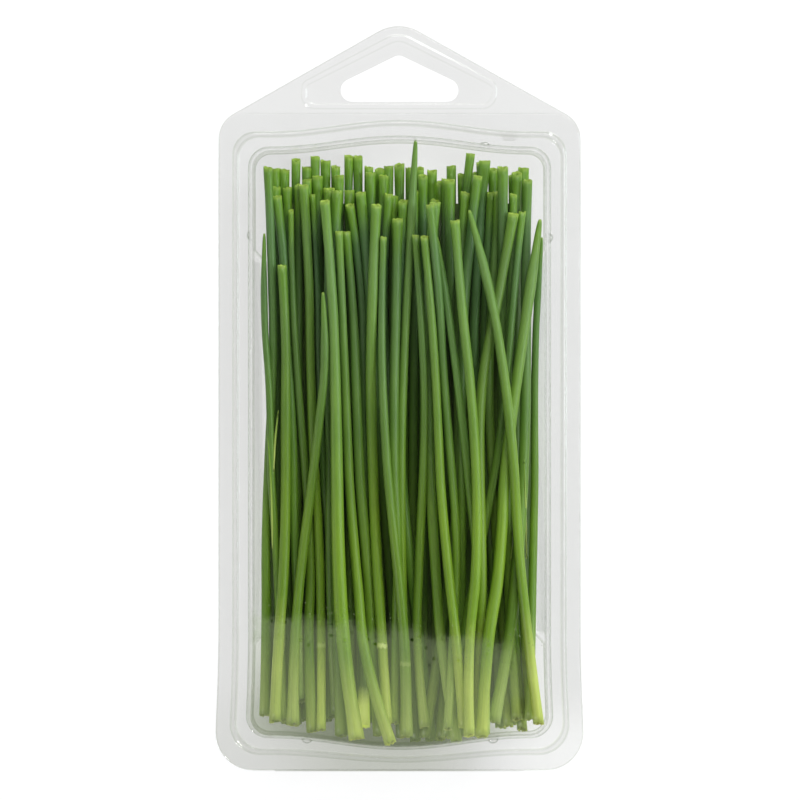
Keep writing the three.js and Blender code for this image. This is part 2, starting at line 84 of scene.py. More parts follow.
SHEET = 0.5
CLEARANCE = 0.3
TRAY_DEPTH = 13.0
BODY_HALF_WIDTH = 50.7
FOOT_FLARE = 0.8
FLARE_START_Y = -70.0
BODY_BOTTOM_Y = -103.6
TRAY_FLANGE_Z = TRAY_DEPTH + SHEET / 2
LID_FLANGE_Z = TRAY_FLANGE_Z + SHEET + CLEARANCE
TRAY_FLOOR_Z = SHEET / 2
LID_PANEL_Z = LID_HIGH.z / MM - SHEET / 2
BOW_HALF_WIDTH = 36.0
BEAD_HEIGHT = 0.8
# Share of the bead's width that each of its flanks takes.
BEAD_FLANK = 0.36

# The tray's waist: how far each side draws in, between which y, how soon, and
# how far above the floor it is drawn in fully.
TRAY_WAIST = 3.6
WAIST_TOP_Y = 38.0
WAIST_BOTTOM_Y = -65.0
WAIST_RUN = 4.0
WAIST_MARGIN = 1.0

# Closed lines round the pack: inset from its long sides, y of its end walls, how
# far those bow out, and the corner radii.
EDGE = {
    "side": 0.0, "top": 80.1, "bottom": -104.1,
    "top_bow": 0.0, "bottom_bow": 0.0, "top_r": 8.0, "bottom_r": 10.5,
}
BEAD_OUT = {
    "side": 3.75, "top": 75.1, "bottom": -99.9,
    "top_bow": 3.2, "bottom_bow": 2.2, "top_r": 6.5, "bottom_r": 8.5,
}
BEAD_IN = {
    "side": 5.8, "top": 73.0, "bottom": -97.9,
    "top_bow": 3.3, "bottom_bow": 2.2, "top_r": 5.5, "bottom_r": 7.5,
}
MOUTH = {
    "side": 8.6, "top": 70.4, "bottom": -94.8,
    "top_bow": 3.1, "bottom_bow": 3.3, "top_r": 5.5, "bottom_r": 6.0,
}
FOOT = {
    "side": 9.8, "top": 69.25, "bottom": -93.9,
    "top_bow": 3.1, "bottom_bow": 3.2, "top_r": 4.7, "bottom_r": 5.1,
}

LIP_WIDTH = 0.3
LIP_DROP = 0.25
BEND_RADIUS = 0.5

# The hanging tab, its hole and the ridge round the hole: corners as x, y, radius.
TAB_APEX = (-0.3, 93.0, 11.5)
TAB_SHOULDER = (42.7, 72.9, 8.0)
# How far below a shoulder's middle the pack's own side takes over from the tab.
TAB_OVERLAP = 1.5
HOLE_CORNERS = ((-13.3, 86.6, 3.2), (13.3, 86.6, 3.2), (-0.2, 93.5, 2.8))
RIDGE_PEAK_R = 7.4
RIDGE_CORNERS = (
    (-23.6, 85.4, 4.2), (-25.0, 87.3, 2.6), (-0.3, 95.0, RIDGE_PEAK_R), (24.8, 87.3, 2.6), (23.2, 85.4, 4.2),
)
# How much wider the ridge is at its peak.
RIDGE_PEAK_WIDENING = 1.35
# Inset, rise and painted crease shade across the ridge.
RIDGE_PROFILE = (
    (0.0, 0.0, 0.0), (0.12, 0.03, 0.08), (0.24, 0.13, 0.13), (0.36, 0.23, 0.08), (0.5, 0.26, 0.0),
    (0.9, 0.26, 0.0), (1.3, 0.26, 0.0), (1.44, 0.23, 0.06), (1.56, 0.13, 0.1), (1.68, 0.03, 0.06),
    (1.8, 0.0, 0.0),
)

# Snap buttons: x, y, the way they swell out in degrees, and their radius.
BUTTONS = (
    (23.9, 70.5, 90, 1.6), (-41.3, 45.8, 180, 1.5), (41.5, 45.2, 0, 1.5), (26.2, -95.0, 270, 1.6),
    (-25.9, -95.0, 270, 1.6), (-20.9, 70.5, 90, 0.8),
)
# Share of the radius, rise and painted crease shade of a button's rings.
BUTTON_PROFILE = ((1.0, -0.1, 0.45), (0.9, 0.1, 0.5), (0.78, 0.3, 0.15), (0.66, 0.36, 0.0), (0.3, 0.4, 0.0))
# The square catch: its corners, and inset, rise and painted crease shade of its rings.
CATCH_CORNERS = ((29.5, 73.2, 0.7), (31.9, 73.2, 0.7), (31.9, 74.6, 0.7), (29.5, 74.6, 0.7))
CATCH_PROFILE = ((0.0, 0.0, 0.12), (0.12, 0.5, 0.0), (0.26, 1.1, 0.0), (0.4, 1.25, 0.05), (0.6, 1.25, 0.0))

# How strongly painted shade darkens the plastic along a bend, from 0 to 1.
TRAY_LIP_SHADE = 0.2
LID_LIP_SHADE = 0.08
MOUTH_SHADE = 0.55
LID_FOOT_SHADE = 0.58
TRAY_FOOT_SHADE = 0.95
# Below 1, this moves a bend's darkest line of painted shade towards the wall.
SHADE_LEAN = 0.6
# Lines of painted shade along the bead: strength, and place and reach as shares of its width.
BEAD_SHADE_LINES = ((0.26, 0.12, 0.18), (0.16, 0.72, 0.2), (0.07, 0.42, 0.34))

# How finely curves are cut, and where the long sides have points besides the
# waist's ends.
CORNER_STEPS = 10
BOW_STEPS = 12
BEAD_STEPS = 16
BEND_STEPS = 8
TAB_STEPS = 12
CIRCLE_STEPS = 64
CATCH_CIRCLE_STEPS = 24
BUTTON_STEPS = 14
HINGE_STEPS = 10
FOOT_STOPS = (-80.0, -73.0)
WAIST_STOPS = (-40.0, -14.0, 12.0)
HEAD_STOPS = (50.0, 58.0)

# --------------------------------------------- the bunch's lines in millimetres

# The hidden rows of stems, by the same draws as their solids.
ROWS = (
    {
        "name": "chives_back_row", "seed": 11, "left": -35.2, "right": 35.2, "height": 2.2,
        "heads": (
            65.0, 64.7, 67.3, 65.5, 68.5, 66.9, 65.5, 68.2, 68.2, 65.2, 64.7, 65.9, 65.9,
            65.2, 65.2, 64.5, 61.0, 65.8, 63.3, 64.0, 66.9, 64.7, 64.8, 63.0, 65.2,
        ),
    },
    {
        "name": "chives_middle_row", "seed": 29, "left": -34.5, "right": 13.0, "height": 5.1,
        "heads": (
            59.4, 59.6, 59.9, 61.9, 62.4, 58.9, 62.7, 58.5, 58.2, 63.6, 62.7, 57.4, 56.0,
            58.5, 62.7, 56.0, 61.6,
        ),
    },
)
ROW_FOOT = (-92.0, -87.0)
ROW_HEAD_SPREAD = 0.3
ROW_DIAMETER = (2.3, 2.7)
ROW_SWAY = 0.45
ROW_BENDS = 4
ROW_RINGS = 7

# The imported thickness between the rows: its box, its ripple, and how far its
# right side moves out at the foot and draws in towards the head.
BED_ENDS = (-84.0, 55.0)
BED_HALF_WIDTH = 36.8
BED_THICKNESS = 0.3
BED_HEIGHT = 3.55
BED_CUTS = 11
BED_RIPPLE = 0.12
BED_RIPPLES_PER_METRE = 260
BED_FOOT_WIDENING = 0.7
BED_HEAD_NARROWING = 2.2
BED_NARROWING_Y = (0, 30)
# Its skin is that of a stem this far from both ends, in the darkest painted depth shade.
BED_SKIN_PLACE = 60

# Pale scars: distance from the foot, half width and strength, by stem.
NO_SCAR = (0.0, 1.0, 0.0)
SCARS = {
    "chive_04": (0.0, 11.5, 1.0),
    "chive_35": (21.8, 0.8, 0.48),
    "chive_05": (20.0, 0.5, 0.5),
    "chive_36": (20.4, 0.8, 0.15),
    "chive_21": (23.8, 0.8, 0.15),
}
# How far leaf tips run on past the last ring of their solid.
TIP_REACH = {"chive_22": 0.6, "chive_27": 1.0}

# Loose slivers of leaf: x and y of both ends, and half width.
SLIVERS = (
    (-34.0, -3.1, -35.4, -20.4, 0.32),
    (-37.4, -5.9, -35.7, -41.7, 0.26),
    (34.9, -16.8, 35.7, -44.5, 0.3),
    (31.5, -36.7, 31.2, -45.1, 0.26),
    (-32.4, -58.8, -32.9, -73.4, 0.16),
)
SLIVER_RINGS = 9
SLIVER_BEND = 0.5
SLIVER_LIFT = 0.6
# A sliver's radius: shares at its ends and more in its middle, how far along that
# swelling goes, and the last radius in millimetres.
SLIVER_ENDS = 0.35
SLIVER_SWELLING = 0.65
SLIVER_SWELLING_END = 0.9
SLIVER_TIP = 0.08
# Height to look down from, and where a sliver starts if no stem is under it.
ABOVE_ALL_Z = 30
BARE_Z = 8


# ------------------------------------------------------------- small helpers

def linear(hex_colour):
    """A display colour such as 6fa03c as linear light."""
    parts = [int(hex_colour[k:k + 2], 16) / 255 for k in (0, 2, 4)]
    return tuple(c / 12.92 if c <= 0.04045 else ((c + 0.055) / 1.055) ** 2.4 for c in parts)


def clamp01(value):
    return min(max(value, 0.0), 1.0)


def mix(a, b, part):
    return a + (b - a) * part


def smooth(low, high, value):
    t = clamp01((value - low) / (high - low))
    return t * t * (3 - 2 * t)


def bell(value, middle, reach):
    """1 at the middle, falling straight to 0 at its reach."""
    return clamp01(1 - abs(value - middle) / reach)


def round_point(x, y, radius, angle, sense=1):
    """The point at an angle on a circle, mirrored from side to side where the sense is -1."""
    return x + sense * radius * math.cos(angle), y + radius * math.sin(angle)


def mix_lines(a, b, part):
    return {key: mix(a[key], b[key], part) for key in a}


def grown(line, by):
    return {
        **line, "side": line["side"] - by, "top": line["top"] + by, "bottom": line["bottom"] - by,
        "top_r": line["top_r"] + by, "bottom_r": line["bottom_r"] + by,
    }


class Draws:
    """The seeded draws that the solids use too."""

    def __init__(self, seed):
        self.state = seed

    def between(self, low, high):
        self.state = (self.state * 1664525 + 1013904223) % 4294967296
        return low + (high - low) * self.state / 4294967296


def round_off(bm, flat=()):
    """Turns all faces outwards and shades them smoothly, apart from the flat ones."""
    bmesh.ops.recalc_face_normals(bm, faces=bm.faces)
    for face in bm.faces:
        face.smooth = face not in flat


def finish_piece(bm, name, body, materials, replaced=()):
    """Turns a bmesh into a piece that rides on a body and stands for its nodes."""
    mesh = bpy.data.meshes.new(name)
    bm.to_mesh(mesh)
    bm.free()
    for material in materials:
        mesh.materials.append(material)
    piece = bpy.data.objects.new(name, mesh)
    bpy.context.scene.collection.objects.link(piece)
    if body:
        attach(piece, body)
    if replaced:
        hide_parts(*replaced)
    return piece


# ---------------------------------------------------------------- the shells

def body_half_width(y):
    return BODY_HALF_WIDTH + FOOT_FLARE * clamp01((FLARE_START_Y - y) / (FLARE_START_Y - BODY_BOTTOM_Y))


def bow(x, height):
    return height * 0.5 * (1 + math.cos(math.pi * min(abs(x) / BOW_HALF_WIDTH, 1)))


def pack_line(line, z, waist=0.0):
    """One closed line round the pack, anticlockwise from the middle of its foot edge, in metres."""
    points = []

    def put(x, y):
        points.append(Vector((x, y, z)) * MM)

    def corner(centre_x, centre_y, radius, start):
        for k in range(CORNER_STEPS + 1):
            put(*round_point(centre_x, centre_y, radius, start + math.pi / 2 * k / CORNER_STEPS))

    foot_x = body_half_width(line["bottom"]) - line["side"] - line["bottom_r"]
    foot_y = line["bottom"] + line["bottom_r"]
    head_x = body_half_width(line["top"]) - line["side"] - line["top_r"]
    head_y = line["top"] - line["top_r"]
    sides = [
        *((y, 0.0) for y in (*FOOT_STOPS, WAIST_BOTTOM_Y - WAIST_RUN)),
        *((y, waist) for y in (WAIST_BOTTOM_Y, *WAIST_STOPS, WAIST_TOP_Y)),
        *((y, 0.0) for y in (WAIST_TOP_Y + WAIST_RUN, *HEAD_STOPS)),
    ]
    across = [BOW_HALF_WIDTH * k / BOW_STEPS for k in range(BOW_STEPS + 1)]
    for x in across:
        put(x, line["bottom"] - bow(x, line["bottom_bow"]))
    corner(foot_x, foot_y, line["bottom_r"], -math.pi / 2)
    for y, lean in sides:
        put(body_half_width(y) - line["side"] - lean, y)
    corner(head_x, head_y, line["top_r"], 0)
    for x in [*reversed(across), *(-x for x in across[1:])]:
        put(x, line["top"] + bow(x, line["top_bow"]))
    corner(-head_x, head_y, line["top_r"], math.pi / 2)
    for y, lean in reversed(sides):
        put(-body_half_width(y) + line["side"] + lean, y)
    corner(-foot_x, foot_y, line["bottom_r"], math.pi)
    for x in reversed(across[1:]):
        put(-x, line["bottom"] - bow(x, line["bottom_bow"]))
    return points


def new_sheet_mesh():
    """An empty mesh whose points carry how much painted shade darkens the sheet along its bends."""
    bm = bmesh.new()
    bm.verts.layers.float.new("crease")
    return bm


def place_verts(bm, verts, points, fold):
    layer = bm.verts.layers.float["crease"]
    for v, p in zip(verts, points):
        v.co = p
        v[layer] = fold


def new_loop(bm, points, fold=0.0, closed=True):
    """A closed loop of edges through these points, or an open chain of them."""
    verts = [bm.verts.new() for _ in points]
    place_verts(bm, verts, points, fold)
    following = verts[1:] + verts[:1] if closed else verts[1:]
    edges = [bm.edges.new(pair) for pair in zip(verts, following)]
    return verts, edges


def carry_loop(bm, verts, edges, points, fold=0.0):
    """Extrudes a loop and sets the new one on these points, one for each vertex."""
    if len(points) != len(verts):
        raise RuntimeError("two neighbouring rings have different point counts")
    made = bmesh.ops.extrude_edge_only(bm, edges=edges)["geom"]
    new_edges = [g for g in made if isinstance(g, bmesh.types.BMEdge)]
    fresh = {g for g in made if isinstance(g, bmesh.types.BMVert)}
    new_verts = [next(e.other_vert(v) for e in v.link_edges if e.other_vert(v) in fresh) for v in verts]
    place_verts(bm, new_verts, points, fold)
    return new_verts, new_edges


def stack_loops(bm, rings, closed=True):
    """One loop carried through rings of (points, painted crease shade), as its first and last (vertices,
    edges).
    """
    first = last = None
    for points, fold in rings:
        last = carry_loop(bm, *last, points, fold) if last else new_loop(bm, points, fold, closed)
        first = first or last
    return first, last


def bead_lines(flange_z):
    """Lines across the locking bead with their painted crease shade, from its outer foot to its inner one."""
    for k in range(BEAD_STEPS + 1):
        part = k / BEAD_STEPS
        rise = BEAD_HEIGHT * smooth(0, BEAD_FLANK, part) * smooth(0, BEAD_FLANK, 1 - part)
        # The fold value is painted shade along the bead's lines.
        fold = sum(strength * bell(part, middle, reach) for strength, middle, reach in BEAD_SHADE_LINES)
        yield mix_lines(BEAD_OUT, BEAD_IN, part), flange_z + rise, fold


def wall_profile(flange_z, end_z):
    """(inset past the mouth, z, painted crease shade) down or up the cavity wall, with its two rounded bends.
    """
    upwards = end_z > flange_z
    run = FOOT["side"] - MOUTH["side"]
    rise = abs(end_z - flange_z)
    turn = math.atan2(rise, run)
    reach = BEND_RADIUS * math.tan(turn / 2)
    foot_bend_shade = LID_FOOT_SHADE if upwards else TRAY_FOOT_SHADE
    profile = []
    for past, off, sense, strength in ((0.0, 0.0, 1, MOUTH_SHADE), (run, rise, -1, foot_bend_shade)):
        for k in range(BEND_STEPS + 1):
            bent = k / BEND_STEPS if sense > 0 else 1 - k / BEND_STEPS
            past_mouth = past - sense * (reach - BEND_RADIUS * math.sin(turn * bent))
            off_flange = off + sense * BEND_RADIUS * (1 - math.cos(turn * bent))
            # The fold value is painted shade along the bend.
            fold = strength * math.sin(math.pi * (1 - bent) ** SHADE_LEAN)
            profile.append((past_mouth, flange_z + (off_flange if upwards else -off_flange), fold))
    return profile


def wall_line(past_mouth):
    """The line round the cavity at an inset, which runs on over the flange and over the panel."""
    run = FOOT["side"] - MOUTH["side"]
    if past_mouth <= 0:
        return grown(MOUTH, -past_mouth)
    if past_mouth >= run:
        return grown(FOOT, run - past_mouth)
    return mix_lines(MOUTH, FOOT, past_mouth / run)


def shell_inside(bm, verts, edges, flange_z, end_z, waist):
    """Goes from the bead's outer foot over the bead and along the wall, and gives the flat panel's face."""
    for line, z, fold in list(bead_lines(flange_z))[1:]:
        verts, edges = carry_loop(bm, verts, edges, pack_line(line, z), fold)
    for past_mouth, z, fold in wall_profile(flange_z, end_z):
        lean = waist * clamp01(abs(z - flange_z) / (abs(end_z - flange_z) - WAIST_MARGIN))
        verts, edges = carry_loop(bm, verts, edges, pack_line(wall_line(past_mouth), z, lean), fold)
    return bmesh.ops.contextual_create(bm, geom=edges)["faces"]


def wrapped(circles, z, steps=CIRCLE_STEPS):
    """The outline round a convex run of corner circles (x, y, radius), anticlockwise, in metres."""
    samples = sorted(
        round_point(x, y, r, 2 * math.pi * k / steps) for x, y, r in circles for k in range(steps)
    )

    def half(ordered):
        hull = []
        for p in ordered:
            while len(hull) > 1:
                a, b = hull[-2], hull[-1]
                if (b[0] - a[0]) * (p[1] - a[1]) - (b[1] - a[1]) * (p[0] - a[0]) > 1e-9:
                    break
                hull.pop()
            hull.append(p)
        return hull[:-1]

    return [Vector((x, y, z)) * MM for x, y in half(samples) + half(samples[::-1])]


def tab_outline(inset, z):
    """The tray's outer edge: the pack's own sides and foot with the pointed tab on their top."""
    shoulder_x, shoulder_y, shoulder_r = TAB_SHOULDER
    apex_x, apex_y, apex_r = TAB_APEX
    top = (shoulder_y - TAB_OVERLAP) * MM
    sides = [p / MM for p in pack_line(grown(EDGE, -inset), z) if p.y < top]
    right = sorted((p for p in sides if p.x > 0), key=lambda p: math.atan2(p.y, p.x))
    left = sorted((p for p in sides if p.x <= 0), key=lambda p: math.atan2(p.y, p.x) % (2 * math.pi))
    arcs = []
    for sense in (1, -1):
        x = shoulder_x * sense
        reach = math.hypot(apex_x - x, apex_y - shoulder_y)
        slope = math.atan2(apex_y - shoulder_y, abs(apex_x - x)) + math.asin((apex_r - shoulder_r) / reach)
        upright = math.pi / 2 - slope
        arc = [
            round_point(x, shoulder_y, shoulder_r - inset, upright * k / TAB_STEPS, sense)
            for k in range(TAB_STEPS + 1)
        ]
        arc += [
            round_point(apex_x, apex_y, apex_r - inset, upright + slope * k / TAB_STEPS, sense)
            for k in range(TAB_STEPS + 1 if sense > 0 else TAB_STEPS)
        ]
        arcs.append([Vector((*p, z)) for p in arc])
    return [p * MM for p in (*right, *arcs[0], *reversed(arcs[1]), *left)]


def thicken(piece, thickness):
    """Gives a sheet its thickness, half to each side."""
    solid = piece.modifiers.new("Sheet", "SOLIDIFY")
    solid.thickness = thickness
    solid.offset = 0.0
    solid.use_even_offset = True


def add_buttons(bm):
    """Half-round snap buttons that swell from the cavity's wall over the flange, and one square catch."""
    base = LID_FLANGE_Z + SHEET / 2
    for x, y, outward, size in BUTTONS:
        start = math.radians(outward) - math.pi / 2
        rings = []
        for share, rise, fold in BUTTON_PROFILE:
            angles = [start + math.pi * k / BUTTON_STEPS for k in range(BUTTON_STEPS + 1)]
            arc = [Vector((*round_point(x, y, size * share, a), base + rise)) * MM for a in angles]
            rings.append((arc, fold))
        last_verts, _ = stack_loops(bm, rings, closed=False)[1]
        bmesh.ops.contextual_create(bm, geom=last_verts)
    rings = []
    for inset, rise, fold in CATCH_PROFILE:
        circles = [(x, y, r - inset) for x, y, r in CATCH_CORNERS]
        rings.append((wrapped(circles, base + rise, CATCH_CIRCLE_STEPS), fold))
    _, last_edges = stack_loops(bm, rings)[1]
    bmesh.ops.contextual_create(bm, geom=last_edges)
    round_off(bm)


def ridge_rings():
    """(points, painted crease shade) across the raised ridge on the tab."""
    for inset, rise, fold in RIDGE_PROFILE:
        circles = [
            (x, y, r - inset * (RIDGE_PEAK_WIDENING if r == RIDGE_PEAK_R else 1)) for x, y, r in RIDGE_CORNERS
        ]
        yield wrapped(circles, TRAY_FLANGE_Z + rise), fold


def make_shell_tray(settings, material):
    """The tray: a flange with its bead, the hanging tab with its ridge and hole, walls and a floor."""
    bm = new_sheet_mesh()
    bead_start = new_loop(bm, pack_line(BEAD_OUT, TRAY_FLANGE_Z))
    rim = new_loop(bm, tab_outline(0.0, TRAY_FLANGE_Z - LIP_DROP), TRAY_LIP_SHADE)
    outer = carry_loop(bm, *rim, tab_outline(LIP_WIDTH, TRAY_FLANGE_Z))
    ridge_outer, ridge_inner = stack_loops(bm, ridge_rings())
    hole = new_loop(bm, wrapped(HOLE_CORNERS, TRAY_FLANGE_Z))
    formed = set(bm.faces)
    bmesh.ops.triangle_fill(bm, use_beauty=True, edges=[*outer[1], *ridge_outer[1], *bead_start[1]])
    bmesh.ops.triangle_fill(bm, use_beauty=True, edges=[*ridge_inner[1], *hole[1]])
    flat = set(bm.faces) - formed
    flat.update(shell_inside(bm, *bead_start, TRAY_FLANGE_Z, TRAY_FLOOR_Z, TRAY_WAIST))
    round_off(bm, flat)
    piece = finish_piece(bm, "clear_tray", "tray", [material], ["tray"])
    thicken(piece, settings.sheet)
    return piece


def make_shell_lid(settings, material):
    """The lid: a flange with its bead, walls, a flat panel, and snap buttons of thinner sheet."""
    bm = new_sheet_mesh()
    rim = new_loop(bm, pack_line(EDGE, LID_FLANGE_Z - LIP_DROP), LID_LIP_SHADE)
    outer = carry_loop(bm, *rim, pack_line(grown(EDGE, -LIP_WIDTH), LID_FLANGE_Z))
    lip = set(bm.faces)
    bead_start = carry_loop(bm, *outer, pack_line(BEAD_OUT, LID_FLANGE_Z))
    flat = set(bm.faces) - lip
    flat.update(shell_inside(bm, *bead_start, LID_FLANGE_Z, LID_PANEL_Z, 0.0))
    round_off(bm, flat)
    piece = finish_piece(bm, "clear_lid", "lid", [material], ["lid"])
    thicken(piece, settings.sheet)
    buttons = new_sheet_mesh()
    add_buttons(buttons)
    thicken(finish_piece(buttons, "snap_buttons", "lid", [material]), settings.sheet / 2)
    return piece


def make_fold(settings, material):
    """The creased sheet that joins the two halves along the foot edge."""
    half_length = HINGE_HIGH.x
    edge_y = EDGE["bottom"] * MM
    low_z = (TRAY_FLANGE_Z - LIP_DROP) * MM
    high_z = (LID_FLANGE_Z - LIP_DROP) * MM
    middle_z = (low_z + high_z) / 2
    reach = edge_y - (HINGE_LOW.y + settings.sheet / 2)
    bm = new_sheet_mesh()
    start = [bm.verts.new((x, edge_y, low_z)) for x in (-half_length, half_length)]
    edge = bm.edges.new(start)
    for k in range(1, HINGE_STEPS + 1):
        angle = math.pi * k / HINGE_STEPS
        made = bmesh.ops.extrude_edge_only(bm, edges=[edge])["geom"]
        edge = next(g for g in made if isinstance(g, bmesh.types.BMEdge))
        for v in edge.verts:
            v.co.y = edge_y - reach * math.sin(angle)
            v.co.z = middle_z - (high_z - low_z) / 2 * math.cos(angle)
    round_off(bm)
    piece = finish_piece(bm, "fold_web", None, [material], ["hinge"])
    thicken(piece, settings.sheet)
    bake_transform(piece, "tray", "lid", start=(0, edge_y, low_z), end=(0, edge_y, high_z))
    return piece


# ----------------------------------------------------------------- the stems

# Seed of the draws, sides of a ring and step between rings in millimetres.
FRONT_SEED = 7
FRONT_SIDES = 18
FRONT_STEP = 2.4
SLIVER_SEED = 41
SLIVER_SIDES = 8
SLIVER_STEP = 1.2
REAR_SEED = 19
REAR_SIDES = 14
REAR_STEP = 4

# Rings of a solid lie further apart than this, in millimetres.
RING_GAP = 4
# Step along a stem's line, as a share of it, over which its direction is read.
DIRECTION_STEP = 0.01
LEAST_RINGS = 8
# How much a stem's depth in the bunch counts in its tone, against chance; the tone paints shade on stems that
# lie deep.
DEPTH_SHADE_IN_TONE = 0.8

# A leaf's tip: what counts as one, the length that it narrows over, how blunt it
# stays, and how far short of its end its last rings lie.
POINTED_RADIUS = 0.4
POINT_TAPER = 26
POINT_BLUNTNESS = 0.27
POINT_RINGS = (1.4, 0.8, 0.35, 0.1)

# How the width wanders and the section flattens, and how often along a stem.
WANDER = 0.035
WANDER_TURNS = 9
SQUEEZE = 0.05
SQUEEZE_TURNS = 4
SQUEEZE_START = 5

# A cut end is crushed by the first share, up to the second more or less, over a
# length in millimetres.
CRUSH = 0.08
CRUSH_SPREAD = 0.06
CRUSH_LENGTH = 9
# Its edge slants, is chipped coarsely and finely, and is torn by a notch, in millimetres
# apart from the notch's half angle.
SLANT_SIDEWAYS = 0.15
SLANT = 0.3
SLANT_SPREAD = 0.25
HEAD_CHIPS = 0.35
FOOT_CHIPS = 0.6
FINE_CHIPS = 0.3
# Chips round an edge, and how much they shift from stem to stem.
COARSE_TURNS = (3.2, 9)
FINE_TURNS = (9, 5)
NOTCH_DEPTH = 0.8
NOTCH_HALF_ANGLE = 0.5
# The hollow behind it: share of the radius and depth in millimetres.
HEAD_HOLLOW = (0.74, 4.5)
FOOT_HOLLOW = (0.62, 1.8)
# Rings down the hollow: shares of its depth, width and crush, and the mark for inner skin.
HOLLOW_RINGS = ((0.0, 1.0, 1.0, 0.5), (0.35, 0.95, 1.0, 1.0), (1.0, 0.8, 0.0, 1.0))


def ring_table(node):
    """Centre and radius of each ring of a stem's solid, from its foot to its head."""
    points = sorted(
        {tuple(round(c, 6) for c in v.co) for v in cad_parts[node].data.vertices},
        key=lambda p: p[1],
    )
    groups = [[points[0]]]
    for p in points[1:]:
        if p[1] - groups[-1][-1][1] > RING_GAP * MM:
            groups.append([])
        groups[-1].append(p)
    centres = [sum((Vector(p) for p in group), Vector()) / len(group) for group in groups]
    radii = [max((Vector(p) - c).length for p in group) for group, c in zip(groups, centres)]
    return centres, radii


def along(values, part):
    """Smooth curve through equally spaced numbers or points, at 0 to 1 along them."""
    last = len(values) - 1
    place = clamp01(part) * last
    i = min(int(place), last - 1)
    t = place - i
    b, c = values[i], values[i + 1]
    a = values[i - 1] if i > 0 else b * 2 - c
    d = values[i + 2] if i + 2 <= last else c * 2 - b
    return b + (c - a + (a * 2 - b * 5 + c * 4 - d + ((b - c) * 3 + d - a) * t) * t) * (0.5 * t)


def stem_frame(centres, part):
    """Matrix whose X runs across a stem, Y up out of it and Z along it, at its centre."""
    after = along(centres, min(part + DIRECTION_STEP, 1))
    before = along(centres, max(part - DIRECTION_STEP, 0))
    ahead = (after - before).normalized()
    across = ahead.cross(Vector((0, 0, 1))).normalized()
    up = across.cross(ahead)
    turned = Matrix((across, up, ahead)).transposed().to_4x4()
    turned.translation = along(centres, part)
    return turned


